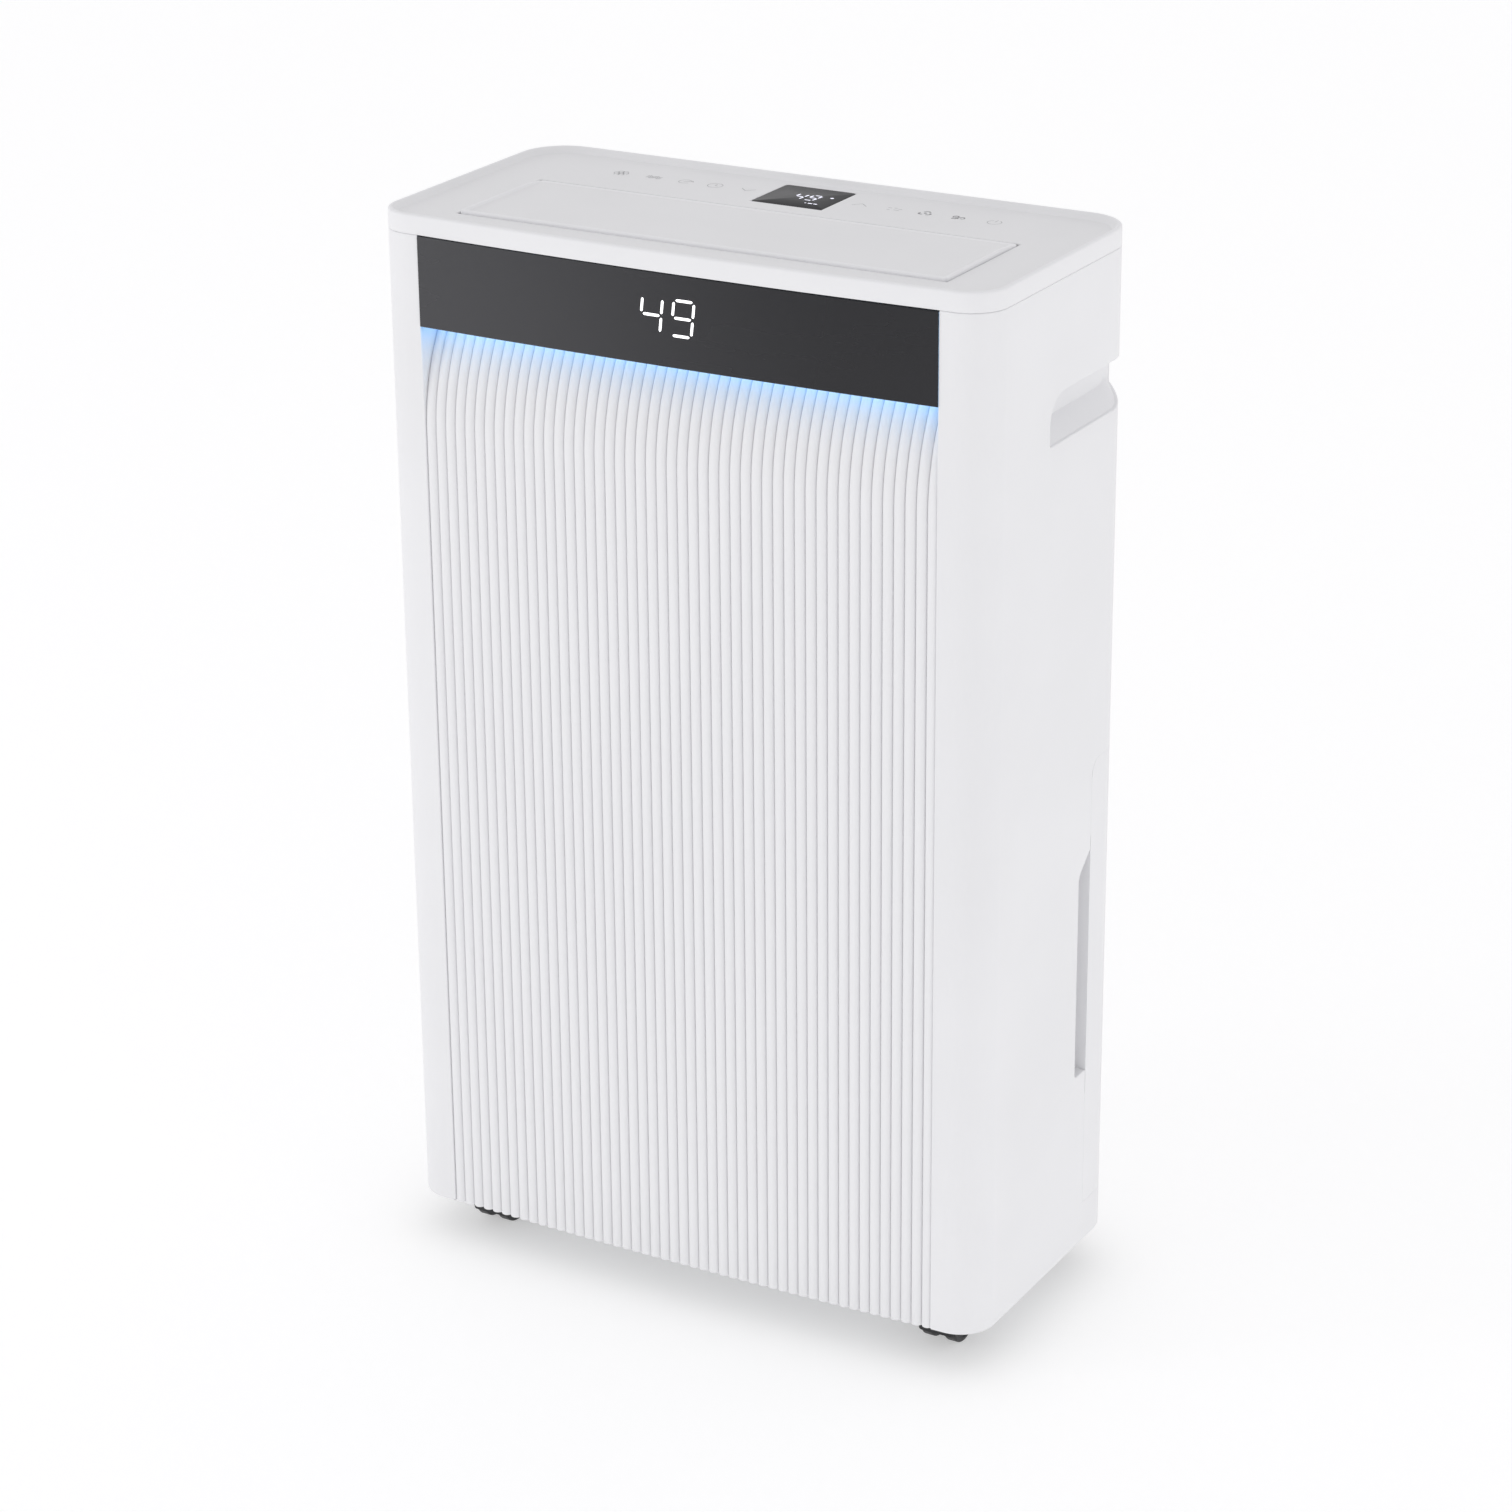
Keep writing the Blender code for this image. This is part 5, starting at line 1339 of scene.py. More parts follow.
@dataclass(frozen=True)
class TopCover:
    """The dished top cover, the outlet flap, the top window and the touch marks."""

    seam: float = 604.0 * MM
    top: float = 615.0 * MM
    dish: float = 611.4 * MM
    crown: float = 3.8 * MM
    rim: float = 3.4 * MM
    rim_round: float = 1.5 * MM
    flap_half: float = 147.2 * MM
    flap_front: float = -59.6 * MM
    flap_rear: float = 22.4 * MM
    hinge_y: float = 21.2 * MM
    hinge_z: float = 609.4 * MM
    pin: float = 1.1 * MM
    gap_x: float = 148.2 * MM
    gap_front: float = -60.6 * MM
    gap_rear: float = 24.0 * MM
    window_half: float = 22.2 * MM
    window_front: float = 36.4 * MM
    window_rear: float = 77.9 * MM
    window_gap: float = 0.35 * MM
    skirt_high: float = 609.0 * MM
    marks_y: float = 56.9

    def outline(self, inset: float, xs: np.ndarray, ys: np.ndarray, corner: int = 12) -> np.ndarray:
        """The cover's plan outline moved in by an inset.

        Corners are quarter circles, and the front line bows out by the crown times one minus the
        squared share of the columns' spacing.

        Args:
            inset: distance inwards.
            xs: shares from -1 to 1 for the points of the front and rear lines.
            ys: shares from 0 to 1 for the points of the side lines.
            corner: steps in a corner.

        Returns:
            Points anticlockwise from the front's left end.
        """
        rf, rr = PLAN.front_radius - inset, PLAN.rear_radius - inset
        hx, y0, y1 = PLAN.half - inset, PLAN.front + inset, PLAN.rear - inset
        a = np.linspace(0, math.pi / 2, corner + 1)
        fx = (hx - rf) * xs
        front = np.column_stack([fx, np.full(len(xs), y0)])
        right = np.column_stack([hx - rf + rf * np.sin(a), y0 + rf - rf * np.cos(a)])
        sy = y0 + rf + (y1 - rr - y0 - rf) * ys
        side = np.column_stack([np.full(len(ys), hx), sy])
        back = np.column_stack([hx - rr + rr * np.cos(a), y1 - rr + rr * np.sin(a)])
        rear = np.column_stack([(hx - rr) * xs[::-1], np.full(len(xs), y1)])
        half = [right[1:], side[1:-1], back[:-1]]
        flipped = [h[::-1] * (-1.0, 1.0) for h in reversed(half)]
        loop = np.concatenate([front, *half, rear, *flipped])
        bowed = np.maximum(0.0, 1.0 - (loop[:, 0] / PLAN.panel) ** 2) * self.crown
        loop[:, 1] -= np.where(loop[:, 1] < 0, bowed, 0.0)
        return loop

    def rectangle(self, xs: np.ndarray, ys: np.ndarray, half: float, low: float, high: float,
                  corner: int = 12) -> np.ndarray:
        """A rectangle with as many points as the outline; its corners repeat one point."""
        sy = low + (high - low) * ys
        right = np.full((corner, 2), (half, low))
        back = np.full((corner, 2), (half, high))
        side = np.column_stack([np.full(len(ys), half), sy])[1:-1]
        front = np.column_stack([half * xs, np.full(len(xs), low)])
        rear = np.column_stack([half * xs[::-1], np.full(len(xs), high)])
        sides = [right, side, back]
        flipped = [h[::-1] * (-1.0, 1.0) for h in reversed(sides)]
        return np.concatenate([front, *sides, rear, *flipped])

    def build_cover(self) -> None:
        """Builds the cover: skirt, soft rim, dish and the edges of its two openings."""
        half, low, high = 160.0 * MM, -68.0 * MM, 82.0 * MM
        gx = spread(-half, -self.gap_x, -self.window_half, self.window_half, self.gap_x, half,
                    step=9.0 * MM)
        gy = spread(low, self.gap_front, self.gap_rear, self.window_front, self.window_rear, high,
                    step=14.0 * MM)
        xs, ys = gx / half, (gy - low) / (high - low)
        r = self.rim_round
        a = np.linspace(0, math.pi / 2, 7)
        rows = [(2.4 * MM, self.skirt_high), (2.4 * MM, self.seam + 0.2 * MM), (0.5 * MM, self.seam),
                (0.12 * MM, self.seam + 0.15 * MM), (0.0, self.seam + 0.55 * MM)]
        rows += [(r - r * math.cos(t), self.top - r + r * math.sin(t)) for t in a]
        crest, deep = len(rows), self.top - self.dish
        for t in np.linspace(0.12, 1.0, 12):
            rows.append((r + 0.6 * MM + self.rim * t, self.top - deep * t * t * (3 - 2 * t)))
        loops = [self.outline(inset, xs, ys) for inset, _ in rows]
        cover = Piece("top_cover_shell", "cabinet", Stock.WHITE, Stock.WHITE_TOP,
                      stands_for=("top_cover",), smooth=50.0)
        levels = [z for _, z in rows]
        cover.ring(stack(loops[:crest + 1], levels[:crest + 1]))
        # painted shade: from the rim's crest inwards the cover takes the darker shaded white
        cover.ring(stack(loops[crest:], levels[crest:]), finish=1)
        cover.ring(stack([loops[-1], self.rectangle(xs, ys, half, low, high)],
                         [self.dish, self.dish]), finish=1)
        for left, right, front, rear in (
                (-half, half, low, self.gap_front),
                (-half, -self.gap_x, self.gap_front, self.gap_rear),
                (self.gap_x, half, self.gap_front, self.gap_rear),
                (-half, half, self.gap_rear, self.window_front),
                (-half, -self.window_half, self.window_front, self.window_rear),
                (self.window_half, half, self.window_front, self.window_rear),
                (-half, half, self.window_rear, high)):
            u = gx[(gx > left - NEAR) & (gx < right + NEAR)]
            v = gy[(gy > front - NEAR) & (gy < rear + NEAR)]
            cover.patch(grid(u, v, lambda i, j: (i, j, self.dish)), finish=1)
        for hx, y0, y1, depth in ((self.gap_x, self.gap_front, self.gap_rear, 6.0 * MM),
                                  (self.window_half, self.window_front, self.window_rear, 2.5 * MM)):
            mouth = [rounded_loop(hx - inset, (y1 - y0) / 2 - inset, 0.0, (0, (y0 + y1) / 2), corner=1)
                     for inset in (0.0, 0.12 * MM, 0.4 * MM, 0.4 * MM)]
            cover.ring(stack(mouth, [self.dish, self.dish - 0.28 * MM, self.dish - 0.4 * MM,
                                     self.dish - depth]), finish=1)
        cover.build()

    def eased(self, points: np.ndarray) -> np.ndarray:
        """Lowers what stands above the dish towards the hinge, so the open flap clears the cover.

        The height above the dish is scaled by the distance ahead of the hinge line over 12 mm, cut
        off at 0 and 1.

        Args:
            points: points of the flap.

        Returns:
            The points with their heights scaled.
        """
        share = np.clip((self.flap_rear - 1.0 * MM - points[..., 1]) / (12.0 * MM), 0.0, 1.0)
        proud = np.maximum(points[..., 2] - self.dish, 0.0)
        out = points.copy()
        out[..., 2] -= proud * (1.0 - share)
        return out

    def build_flap(self) -> None:
        """Builds the outlet flap: a plate with a bevelled rim in a lighter white as painted highlight,
        and a ribbed underside.
        """
        centre = (0.0, (self.flap_front + self.flap_rear) / 2)
        hx, hy = self.flap_half, (self.flap_rear - self.flap_front) / 2
        rows = [(40.0, -2.6), (3.0, -2.6), (2.6, -3.0), (0.5, -3.0), (0.1, -2.8), (0.0, -2.5),
                (0.0, -1.2), (0.0, 0.85), (0.12, 1.2), (0.5, 1.5), (1.0, 1.6), (2.2, 1.6),
                (2.8, 1.3), (3.3, 0.7), (4.0, 0.3), (8.0, 0.2), (40.0, 0.2)]
        loops = [rounded_loop(hx - i * MM, hy - i * MM, max(0.4 * MM, (3.4 - i) * MM), centre,
                              corner=6, along=12) for i, _ in rows]
        flap = Piece("outlet_flap_plate", "outlet_flap", Stock.WHITE_TOP, Stock.WHITE,
                     stands_for=("outlet_flap",), smooth=40.0)
        levels = [self.dish + z * MM for _, z in rows]
        # painted highlight and shade: the rim rows take the lighter white, the rest the darker shaded
        # white
        for band, finish in ((slice(0, 6), 0), (slice(5, 14), 1), (slice(13, None), 0)):
            flap.ring(self.eased(stack(loops[band], levels[band])), finish=finish)
        inner_x, inner_y = hx - rows[0][0] * MM, hy - rows[0][0] * MM
        for level, flip in ((levels[0], True), (levels[-1], False)):
            middle = grid(np.array([-inner_x, inner_x]), np.array([-inner_y, inner_y]),
                          lambda u, v: (u, centre[1] + v, level))
            flap.patch(self.eased(middle), flip=flip)
        for x0, x1 in ((-150.6, -147.0), (147.0, 150.6)):
            flap.ring(lathe([(0.01 * MM, x0 * MM), (self.pin, x0 * MM), (self.pin, x1 * MM)],
                            (0.0, self.hinge_y, self.hinge_z), "X", 16))
        flap.build()

    def build_window(self) -> None:
        """Builds the black window with a slim bevel."""
        centre = (0.0, (self.window_front + self.window_rear) / 2)
        hx = self.window_half - self.window_gap
        hy = (self.window_rear - self.window_front) / 2 - self.window_gap
        rows = [(0.0, -1.6), (0.0, -0.3), (0.08, -0.1), (0.3, 0.0), (20.0, 0.0)]
        loops = [rounded_loop(hx - i * MM, hy - i * MM, max(0.3, 2.6 - i) * MM, centre, corner=6)
                 for i, _ in rows]
        window = Piece("top_window_gloss", "cabinet", Stock.WINDOW, stands_for=("top_window",))
        window.ring(stack(loops, [self.dish + z * MM for _, z in rows]))
        window.build()
        Digits().build_top((1.5 * MM, centre[1] + 0.5 * MM), self.dish + 0.05 * MM)

    def build_marks(self) -> None:
        """Builds the touch marks as thin printed strips."""
        level = self.dish + 0.04 * MM
        light = Piece("touch_marks_light", "cabinet", Stock.INK)
        dark = Piece("touch_marks_dark", "cabinet", Stock.INK_DARK)

        def stroke(piece: Piece, x: float, y: float, line: np.ndarray, width: float = 0.42) -> None:
            """One printed stroke: a strip of a width along a line given in millimetres."""
            step = np.gradient(line, axis=0)
            step /= np.maximum(np.linalg.norm(step, axis=1, keepdims=True), 1e-9)
            side = np.column_stack([-step[:, 1], step[:, 0]]) * width / 2
            sides = np.stack([line - side, line + side], axis=1) * MM
            piece.patch(np.stack([sides[..., 0] + x * MM, sides[..., 1] + y * MM,
                                  np.full(sides.shape[:2], level)], axis=-1), flip=True)

        def ring(radius: float, start: float, end: float, cx: float = 0.0, cy: float = 0.0) -> np.ndarray:
            """An arc in millimetres, from a start to an end angle in degrees."""
            a = np.radians(np.linspace(start, end, 25))
            return np.column_stack([cx + radius * np.cos(a), cy + radius * np.sin(a)])

        def line(*points: tuple[float, float]) -> np.ndarray:
            """A broken line in millimetres with a few points on each leg."""
            p = np.array(points, float)
            t = np.linspace(0, 1, 5)[:, None]
            return np.concatenate([a * (1 - t) + b * t for a, b in zip(p[:-1], p[1:])])

        y = self.marks_y
        for a in np.arange(6) * math.pi / 3:
            petal = ring(1.5, -60, 240, 3.0 * math.cos(a), 3.0 * math.sin(a))
            stroke(light, -115.8, y, petal, 0.5)
        stroke(light, -115.8, y, ring(1.4, 0, 360))
        t = np.linspace(-4.6, 4.6, 33)
        for shift in (-1.3, 0.3, 1.9):
            stroke(light, -94.8, y, np.column_stack([t, shift + 0.8 * np.sin(t * 1.35)]), 0.6)
        stroke(light, -74.6, y, ring(3.6, 20, 330))
        stroke(light, -74.6, y, line((-0.5, -1.0), (3.4, 2.6), (4.8, 0.6)), 0.5)
        stroke(light, -55.5, y, ring(4.3, 0, 360))
        stroke(light, -55.5, y, line((0, 2.8), (0, 0), (2.0, -0.8)))
        stroke(light, -35.3, y, line((-4.4, 2.0), (0, -2.2), (4.4, 2.0)), 0.5)
        stroke(light, 35.3, y, line((-4.4, -2.0), (0, 2.2), (4.4, -2.0)), 0.5)
        for dx, dy, w in ((-4.2, 1.6, 2.2), (-0.8, 2.2, 1.8), (2.2, 1.0, 2.4), (-3.4, -2.0, 1.8),
                          (0.6, -1.6, 3.2)):
            stroke(light, 55.5, y, line((dx, dy), (dx + w, dy)), 0.6)
        for turn in (90, 210, 330):
            a = math.radians(turn)
            blade = ring(1.6, turn - 80, turn + 100, 2.1 * math.cos(a), 2.1 * math.sin(a))
            stroke(dark, 74.6, y, blade, 1.1)
        stroke(dark, 74.6, y, ring(0.5, 0, 360), 0.8)
        for dx, dy, r in ((-2.4, 1.2, 1.5), (1.6, -0.8, 2.0), (-1.8, -2.4, 1.2)):
            stroke(dark, 94.8, y, ring(r, 30, 230, dx, dy), 0.9)
            stroke(dark, 94.8, y, ring(r * 0.5, 200, 400, dx + r * 0.4, dy), 0.7)
        stroke(light, 115.8, y, ring(3.9, -240, 60))
        stroke(light, 115.8, y, line((0, 4.6), (0, 0.6)))
        light.build()
        dark.build()

    def build(self) -> None:
        """Builds the top's pieces."""
        self.build_cover()
        self.build_flap()
        self.build_window()
        self.build_marks()


@dataclass(frozen=True)
class WaterTank:
    """The pull-out tank's outer and inner walls."""

    front: float = 46.7 * MM
    low: float = 49.5 * MM
    high: float = 321.0 * MM
    nose: float = 10.0 * MM
    wall: float = 2.2 * MM
    edge: float = 0.8 * MM
    lap: float = 30.0 * MM
    draft: float = 0.012
    window_half: float = 7.0 * MM
    window_low: float = 89.5 * MM
    window_high: float = 271.0 * MM
    window_edge: float = 0.3 * MM

    def build(self) -> None:
        """Builds the tank.

        The wall follows the cabinet's plan behind the tank's front, its upper line has a quarter
        circle at the front, and the same lines a wall's thickness further in make the inside.
        """
        s0 = PLAN.at_y(self.front)
        s_win = PLAN.at_rear_x(self.window_half)
        s = PLAN.samples(*arc_stops(s0, self.nose), s0, s_win)
        s = s[s > s0 - NEAR]
        roof = self.high - fallen(self.nose, s - s0)
        plain, tail = s[s < s_win + NEAR], s[s > s_win - NEAR]
        foot = self.low + self.edge
        tank = Piece("tank_shell", "tank", Stock.WHITE, stands_for=("tank_body",), smooth=45.0)
        for depth in (0.0, self.wall):
            for u, low, high in ((plain, foot, self.window_low),
                                 (plain, self.window_low, self.window_high),
                                 (plain, self.window_high, roof[:len(plain)]),
                                 (tail, foot, self.window_low),
                                 (tail, self.window_high, roof[len(plain) - 1:])):
                u = np.maximum(u, s0 + depth) if depth else u
                tank.patch(wall_field(u, low, high, depth), flip=bool(depth))
        tank.patch(straight_edge(s, foot, DOWN, self.edge, self.lap))
        outer = np.stack(PLAN.wall(s, roof), axis=-1)
        inner = np.stack(PLAN.wall(np.maximum(s, s0 + self.wall), roof, self.wall), axis=-1)
        tank.patch(np.stack([outer, inner]), flip=True)
        jamb = np.linspace(self.window_low, self.window_high, 3)
        tank.patch(straight_edge(s_win, jamb, ONWARD, self.window_edge, self.wall))
        tank.patch(straight_edge(tail, self.window_low, UP, self.window_edge, self.wall), flip=True)
        tank.patch(straight_edge(tail, self.window_high, DOWN, self.window_edge, self.wall))
        z = spread(self.low, self.high - self.nose, step=60 * MM)
        x = np.array([0.0, PLAN.half])
        for y, narrower, flip in ((self.front, 0.0, False), (self.front + self.wall, self.draft, True)):
            tank.patch(grid(x, z, lambda u, v: (u - u * narrower, y, v)), flip=flip)
        for level, inset, side, flip in ((self.low, self.lap, PLAN.half - self.lap, True),
                                         (self.low + self.wall, self.wall, PLAN.half, False)):
            rear = np.stack(PLAN.wall(s, np.full(len(s), level), inset), axis=-1)
            spine = rear * (0.0, 1.0, 1.0)
            tank.patch(np.stack([rear, spine]), flip=flip)
            front = np.array([[0.0, self.front, level], [side, self.front, level]])
            tank.patch(np.stack([front, np.stack([spine[0], rear[0]])]), flip=flip)
        tank.mirrored().build()


@dataclass(frozen=True)
class Caster:
    """One twin-wheel caster: swivelling hood and two wheels with treads and hubs."""

    word: str
    x: float
    y: float
    radius: float = 13.5 * MM
    hood: float = 16.0 * MM
    half_space: float = 3.7 * MM
    width: float = 7.0 * MM
    trail: float = 7.0 * MM

    def build(self) -> None:
        """Builds the wheels as turned profiles and the hood as a rounded arch over them."""
        cy = self.y + self.trail
        wheels = Piece(f"caster_tyres_{self.word}", f"caster_wheels_{self.word}", Stock.BLACK,
                       stands_for=(f"caster_wheels_{self.word}",), smooth=40.0)
        r, w = self.radius - 0.02 * MM, self.width
        profile = soft([(2.2 * MM, 0.0), (r * 0.55, 0.0), (r * 0.62, 0.6 * MM), (r * 0.8, 0.6 * MM),
                        (r * 0.84, 0.0), (r, 0.0), (r, w), (r * 0.84, w), (r * 0.8, w - 0.9 * MM),
                        (r * 0.5, w - 0.9 * MM), (r * 0.4, w), (0.01 * MM, w)], 1.1 * MM)
        for sign in (1.0, -1.0):
            turned = lathe(profile, (0.0, cy, self.radius), "X", 48)
            turned[..., 0] = self.x + sign * (self.half_space + turned[..., 0])
            wheels.ring(turned, flip=sign < 0)
        axle = lathe([(2.2 * MM, -self.half_space), (2.2 * MM, self.half_space)],
                     (self.x, cy, self.radius), "X", 16)
        wheels.ring(axle)
        wheels.build()

        half = self.half_space + w
        hood = Piece(f"caster_hood_{self.word}_moulding", f"caster_swivel_{self.word}", Stock.BLACK,
                     stands_for=(f"caster_hood_{self.word}",), smooth=40.0)
        drop = math.asin((self.radius - 9.0 * MM) / self.hood)
        a = np.linspace(-drop, math.pi + drop, 33)
        left = [(u * MM - half, self.hood - v * MM)
                for u, v in ((0.6, 1.5), (0.0, 1.1), (0.0, 0.9), (1.4, 0.0))]
        section = soft([*left, *((-u, v) for u, v in reversed(left))], 0.8 * MM)
        across, reach = np.array(section).T
        arch = np.stack([self.x + across[None] + 0 * a[:, None], cy + np.cos(a)[:, None] * reach[None],
                         self.radius + np.sin(a)[:, None] * reach[None]], axis=-1)
        hood.ring(arch, flip=True)
        for end, flip in ((arch[0], True), (arch[-1], False)):
            hood.ring(np.stack([end, np.broadcast_to(end.mean(axis=0), end.shape)]), flip=flip)
        web = 2.6 * MM
        b = np.linspace(0.0, math.pi, 25)
        for sign in (1.0, -1.0):
            arcs = [np.stack([np.full(len(b), self.x + sign * web), cy + np.cos(b) * reach,
                              self.radius + np.sin(b) * reach], axis=-1)
                    for reach in (self.hood - 0.8 * MM, 3.0 * MM)]
            hood.patch(np.stack(arcs), flip=sign > 0)
        stem = lathe([(3.0 * MM, 26.0 * MM), (3.0 * MM, 33.6 * MM), (2.4 * MM, 34.4 * MM),
                      (0.01 * MM, 34.6 * MM)], (self.x, self.y, 0.0), "Z", 20)
        hood.ring(stem, flip=True)
        hood.build()


@dataclass(frozen=True)
class IntakeGrille:
    """The rear grille: a rounded frame, a middle stile and slanting louvres."""

    half: float = 141.0 * MM
    low: float = 343.5 * MM
    high: float = 591.0 * MM
    rear: float = 89.4 * MM
    thick: float = 4.0 * MM
    margin: float = 12.0 * MM
    rows: int = 17

    def build(self) -> None:
        """Builds the frame from rounded loops and carries one louvre section across each row."""
        grille = Piece("rear_grille_louvres", "rear_grille", Stock.WHITE, stands_for=("rear_grille",),
                       smooth=45.0)
        centre = (0.0, (self.low + self.high) / 2)
        hz = (self.high - self.low) / 2
        t = self.thick
        rows = [(0.2, t), (0.0, t - 0.3 * MM), (0.0, 0.8 * MM), (0.25, 0.25 * MM), (0.9, 0.0),
                (10.6, 0.0), (11.5, 0.3 * MM), (12.0, 1.0 * MM), (12.0, t), (0.2, t)]
        loops = []
        for inset, depth in rows:
            flat = rounded_loop(self.half - inset * MM, hz - inset * MM, (5.0 if inset < 6 else 3.0) * MM,
                                centre, corner=6)
            level = np.full(len(flat), self.rear - depth)
            loops.append(np.column_stack([flat[:, 0], level, flat[:, 1]]))
        grille.ring(np.stack(loops), flip=True)
        pitch = (self.high - self.low - 2 * self.margin) / self.rows
        section = rounded_loop(t / 2 - 0.05 * MM, 2.3 * MM, 1.2 * MM, corner=3)
        slant = section.copy()
        slant[:, 1] += section[:, 0] * 0.45
        blade = np.column_stack([np.zeros(len(slant)), slant[:, 0], slant[:, 1]])
        y = self.rear - t / 2
        for row in range(1, self.rows):
            z = self.low + self.margin + pitch * row
            for x0, x1 in ((-self.half + 11.5 * MM, -2.5 * MM), (2.5 * MM, self.half - 11.5 * MM)):
                grille.ring(bar(blade, (x0, y, z), (x1, y, z)), flip=True)
        post = rounded_loop(3.0 * MM, t / 2, 0.8 * MM, (0.0, y), corner=4)
        section = np.column_stack([post, np.zeros(len(post))])
        grille.ring(bar(section, (0, 0, self.low + 11.0 * MM), (0, 0, self.high - 11.0 * MM)))
        grille.build()


@dataclass(frozen=True)
class FinnedCoil:
    """A finned coil: pleated aluminium with copper hairpin bends at both ends."""

    node: str
    fins: int = 110
    bends: int = 6
    pleat: float = 2.4 * MM
    plate: float = 1.2 * MM
    tube: float = 2.6 * MM
    flat: float = 0.16

    def build(self) -> None:
        """Builds both faces as square pleats and each bend as a half ring of tube."""
        low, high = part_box(self.node)
        half = high.x - 3.0 * MM
        x = np.linspace(-half, half, self.fins * 4 + 1)
        phase = np.arange(len(x)) % 4
        depth = np.where((phase == 0) | (phase == 1), 0.0, self.pleat)
        coil = Piece(f"{self.node}_fins", "cabinet", Stock.ALUMINIUM, Stock.COPPER,
                     stands_for=(self.node,), smooth=20.0)
        z = np.array([low.z, high.z])
        zz = np.broadcast_to(z[None], (len(x), 2))
        for y, sign in ((high.y, -1.0), (low.y, 1.0)):
            face = np.stack([np.broadcast_to(x[:, None], (len(x), 2)),
                             np.broadcast_to((y + sign * depth)[:, None], (len(x), 2)), zz], axis=-1)
            coil.patch(face, flip=sign < 0)
        for level, flip in ((low.z, True), (high.z, False)):
            coil.patch(grid(np.array([-half, half]),
                            np.array([low.y + self.pleat, high.y - self.pleat]),
                            lambda u, v: (u, v, level)), flip=flip)
        for sign in (-1.0, 1.0):
            plate = rounded_loop((high.y - low.y) / 2, (high.z - low.z) / 2, 1.0 * MM,
                                 ((high.y + low.y) / 2, (high.z + low.z) / 2), corner=2)
            section = np.column_stack([np.zeros(len(plate)), plate])
            ends = sorted((sign * half, sign * (half + self.plate)))
            coil.ring(bar(section, (ends[0], 0, 0), (ends[1], 0, 0)), flip=True)
            step = (high.z - low.z) / (self.bends * 2)
            a = np.linspace(0, math.pi, 9)
            b = np.arange(10) * math.tau / 10
            big = step * 0.5
            wide, thick = np.cos(b)[None] * self.tube, np.sin(b)[None] * self.tube
            reach = big + wide
            for k in range(self.bends):
                cz = low.z + step * (2 * k + 1)
                tube_x = sign * (half + self.plate + self.flat * reach * np.sin(a)[:, None])
                tube_y = (low.y + high.y) / 2 + thick + 0 * a[:, None]
                tube_z = cz + reach * np.cos(a)[:, None]
                coil.ring(np.stack([tube_x, tube_y, tube_z], axis=-1), finish=1, flip=sign < 0)
        coil.build()


@dataclass(frozen=True)
class DrumFan:
    """The drum fan wheel: forward-curved blades between a hub plate and a rim."""

    radius: float = 84.0 * MM
    depth: float = 48.0 * MM
    axis_z: float = 457.0 * MM
    blades: int = 36
    blade: float = 12.0 * MM
    curl: float = 0.16
    half_blade: float = 0.006

    def build(self) -> None:
        """Builds the plate and rims as turned profiles and each blade as a curved sheet."""
        low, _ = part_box("fan_wheel")
        centre = (0.0, low.y, self.axis_z)
        wheel = Piece("fan_wheel_blades", "fan_wheel", Stock.BLACK, stands_for=("fan_wheel",),
                      smooth=40.0)
        r, d = self.radius - 0.1 * MM, self.depth
        plate = [(4.3 * MM, 0.0), (r, 0.0), (r, 3.0 * MM), (12.0 * MM, 3.0 * MM), (11.3 * MM, 12.0 * MM),
                 (4.3 * MM, 12.0 * MM), (4.3 * MM, 0.0)]
        inner = r - self.blade
        rim = [(inner, d - 1.6 * MM), (r, d - 3.0 * MM), (r, d), (inner, d), (inner, d - 1.6 * MM)]
        for profile in (plate, rim):
            wheel.ring(lathe(soft(profile, 0.6 * MM, 2), centre, "Y", 72), flip=True)
        t = np.linspace(0.0, 1.0, 6)
        reach = inner + (self.blade - 0.1 * MM) * t
        lead = self.curl * (1 - t) ** 2
        sides = [lead + self.half_blade, lead - self.half_blade]
        y = np.array([1.5 * MM, d - 1.0 * MM])
        for k in range(self.blades):
            turn = math.tau * k / self.blades
            ring_a = np.concatenate([sides[0], sides[1][::-1]]) + turn
            ring_r = np.concatenate([reach, reach[::-1]])
            points = np.stack([np.stack([ring_r * np.cos(ring_a), np.full(len(ring_r), low.y + v),
                                         self.axis_z + ring_r * np.sin(ring_a)], axis=-1) for v in y])
            wheel.ring(points)
        wheel.build()


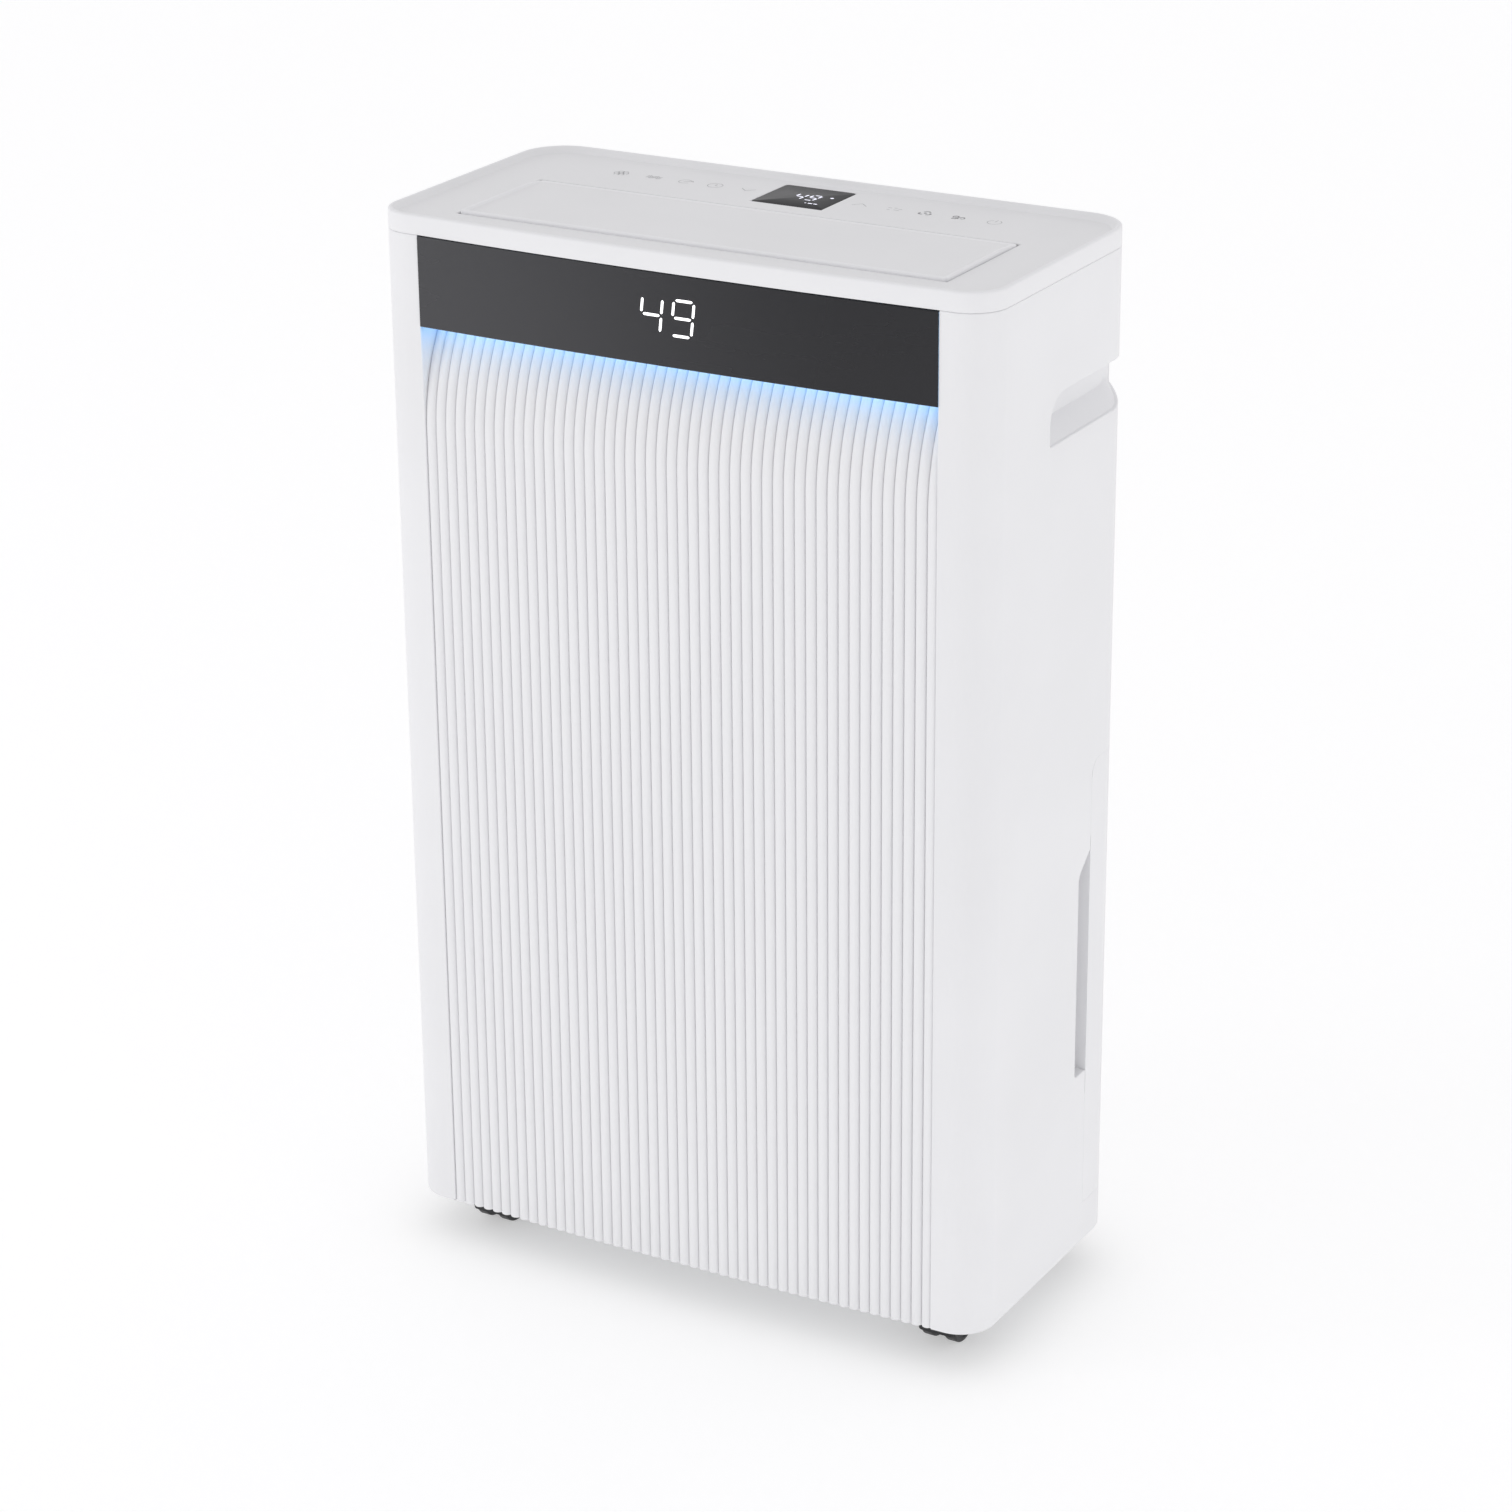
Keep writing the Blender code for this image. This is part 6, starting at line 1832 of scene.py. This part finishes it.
@dataclass(frozen=True)
class Fixings:
    """Rear screws with their cross recesses painted as black crosses of shade, and the round drain cap.
    """

    def build(self) -> None:
        """Builds each screw head as a low dome with two crossing black strips laid on it as painted shade
        of the cross recess.
        """
        for level in ("lower", "upper"):
            for side in ("left", "right"):
                node = f"rear_screw_{level}_{side}"
                low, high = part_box(node)
                cx, cz = (low.x + high.x) / 2, (low.z + high.z) / 2
                r = 3.3 * MM
                screw = Piece(f"{node}_head", "cabinet", Stock.ZINC, Stock.BLACK, stands_for=(node,))
                dome = [(r * math.sin(a), 1.2 * MM * (math.cos(a) - 1.0))
                        for a in np.linspace(1.2, 0.002, 8)]
                shank = [(1.5 * MM, -8.5 * MM), (1.5 * MM, -1.6 * MM), (r, -1.6 * MM)]
                screw.ring(lathe([*shank, *dome], (cx, high.y, cz), "Y", 28), flip=True)
                # painted shade: flat black strips where the cross recess lies in shade
                for u, v in ((1.9, 0.35), (0.35, 1.9)):
                    screw.patch(grid(np.array([-u, u]) * MM, np.array([-v, v]) * MM,
                                     lambda p, q: (cx + p, high.y + 0.03 * MM, cz + q)),
                                finish=1, flip=True)
                screw.build()
        low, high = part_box("drain_cap")
        cx, cz, r = (low.x + high.x) / 2, (low.z + high.z) / 2, (high.x - low.x) / 2
        cap = Piece("drain_cap_knob", "drain_cap", Stock.BLACK, stands_for=("drain_cap",), smooth=40.0)
        y0 = high.y
        profile = soft([(0.01 * MM, low.y - y0), (4.3 * MM, low.y - y0), (4.3 * MM, -1.4 * MM),
                        (r, -1.4 * MM), (r, -0.2 * MM), (r - 1.6 * MM, 0.0),
                        (r - 2.6 * MM, -0.8 * MM), (0.01 * MM, -0.8 * MM)], 0.5 * MM)
        cap.ring(lathe(profile, (cx, y0, cz), "Y", 40), flip=True)
        grip = rounded_loop(r - 3.2 * MM, 0.9 * MM, 0.8 * MM, (cx, cz), corner=4)
        section = np.column_stack([grip[:, 0], np.zeros(len(grip)), grip[:, 1]])
        cap.ring(bar(section, (0, y0 - 1.2 * MM, 0), (0, y0 - 0.1 * MM, 0)), flip=True)
        cap.build()


# ---------------------------------------------------------------- carried-over nodes and stage
@dataclass(frozen=True)
class Innards:
    """Finishes for the CAD nodes that are shown as they are."""

    slots: dict[str, Stock] = field(default_factory=lambda: {
        s.value: s for s in Stock if s.value in {m["slot"] for m in frame["record"]["materials"]}})

    def dress(self) -> None:
        """Gives every shown CAD node the procedural finish of its record slot."""
        named = {part["node"]: part["material_slot"] for part in frame["record"]["subparts"]}
        for name, node in sorted(frame["nodes"].items()):
            if node.hide_render:
                continue
            material = PAINT.get(self.slots[named[name]])
            if not node.data.materials:
                node.data.materials.append(material)
            for index in range(len(node.data.materials)):
                node.data.materials[index] = material
            LOG.info("%s: finish %s", name, material.name)


@dataclass(frozen=True)
class Studio:
    """Pale floor, soft lights and the camera."""

    azimuth: float = 0.5217157
    elevation: float = 0.3805026
    roll: float = -0.0086871
    spot: Vec = (1.08121, -1.88105, 1.17262)
    lens: float = 99.534
    floor: Vec = (0.67, 0.67, 0.67)
    floor_glow: float = 0.42
    floor_reach: float = 14.0
    floor_flat: float = 9.0
    sky: float = 0.81
    sky_colour: tuple[float, float, float, float] = (0.99, 0.985, 1.0, 1.0)

    def build_floor(self) -> None:
        """Builds the floor as one wide grid that turns up softly far away on every side."""
        reach = np.linspace(-self.floor_reach, self.floor_reach, 57)
        points = grid(reach, reach, lambda x, y: (
            x, y, 0.09 * np.maximum(0.0, np.hypot(x, y) - self.floor_flat) ** 2.2))
        mesh = bpy.data.meshes.new("floor")
        one = Patch(points)
        mesh.from_pydata(points.reshape(-1, 3).tolist(), [], one.quads().tolist())
        mesh.polygons.foreach_set("use_smooth", np.ones(len(mesh.polygons), bool))
        g = Graph("floor_paper")
        g.set(Base_Color=(*self.floor, 1.0), Roughness=g.noise(g.place(), 3.0) * 0.06 + 0.72,
              Specular_IOR_Level=0.1, Emission_Color=(1.0, 1.0, 1.0, 1.0),
              Emission_Strength=self.floor_glow)
        mesh.materials.append(g.material)
        made = bpy.data.objects.new("floor", mesh)
        bpy.context.scene.collection.objects.link(made)

    def lamp(self, name: str, place: Vec, aim: Vec, size: tuple[float, float], power: float,
             colour: Vec = (1.0, 1.0, 1.0)) -> None:
        """Adds one rectangular soft light that looks at a point."""
        data = bpy.data.lights.new(name, "AREA")
        data.shape, data.size, data.size_y = "RECTANGLE", size[0], size[1]
        data.energy, data.color = power, colour
        made = bpy.data.objects.new(name, data)
        made.location = place
        made.rotation_mode = "QUATERNION"
        made.rotation_quaternion = (Vector(aim) - Vector(place)).to_track_quat("-Z", "Y")
        bpy.context.scene.collection.objects.link(made)

    def build_light(self) -> None:
        """Builds an even pale sky with a soft light from the front left and one from the right."""
        world = bpy.data.worlds.new("studio")
        bpy.context.scene.world = world
        world.use_nodes = True
        colour, strength = world.node_tree.nodes["Background"].inputs[:2]
        colour.default_value, strength.default_value = self.sky_colour, self.sky
        self.lamp("key", place=(-2.2, -1.7, 1.0), aim=(0, 0, 0.35), size=(1.0, 1.6), power=6.5)
        self.lamp("fill", place=(2.7, -0.6, 0.9), aim=(0, 0, 0.3), size=(1.2, 1.6), power=2.5)

    def build_camera(self) -> None:
        """Builds the camera from its turn, tilt and roll."""
        az, el, roll = self.azimuth, self.elevation, self.roll
        back = Vector((math.sin(az) * math.cos(el), -math.cos(az) * math.cos(el), math.sin(el)))
        right = Vector((math.cos(az), math.sin(az), 0.0))
        up = back.cross(right)
        across = math.cos(roll) * right + math.sin(roll) * up
        above = -math.sin(roll) * right + math.cos(roll) * up
        data = bpy.data.cameras.new("camera")
        data.sensor_width, data.lens = 36.0, self.lens
        data.clip_start, data.clip_end = 0.05, 60.0
        made = bpy.data.objects.new("camera", data)
        turn = Matrix((across, above, back)).transposed().to_4x4()
        made.matrix_world = Matrix.Translation(self.spot) @ turn
        bpy.context.scene.collection.objects.link(made)
        bpy.context.scene.camera = made

    def build(self) -> None:
        """Builds the stage."""
        self.build_floor()
        self.build_light()
        self.build_camera()
        bpy.context.scene.view_settings.view_transform = "Standard"


def main() -> None:
    """Builds each sub-assembly in turn."""
    logging.basicConfig(level=logging.INFO, format="%(message)s")
    CabinetShell().build()
    RibbedFront().build()
    TopCover().build()
    WaterTank().build()
    for row, y in (("front", -54.6 * MM), ("rear", 58.4 * MM)):
        for side, x in (("left", -148.0 * MM), ("right", 148.0 * MM)):
            Caster(f"{row}_{side}", x, y).build()
    IntakeGrille().build()
    FinnedCoil("evaporator_coil").build()
    FinnedCoil("condenser_coil").build()
    DrumFan().build()
    Fixings().build()
    Innards().dress()
    Studio().build()


if __name__ == "__main__":
    main()
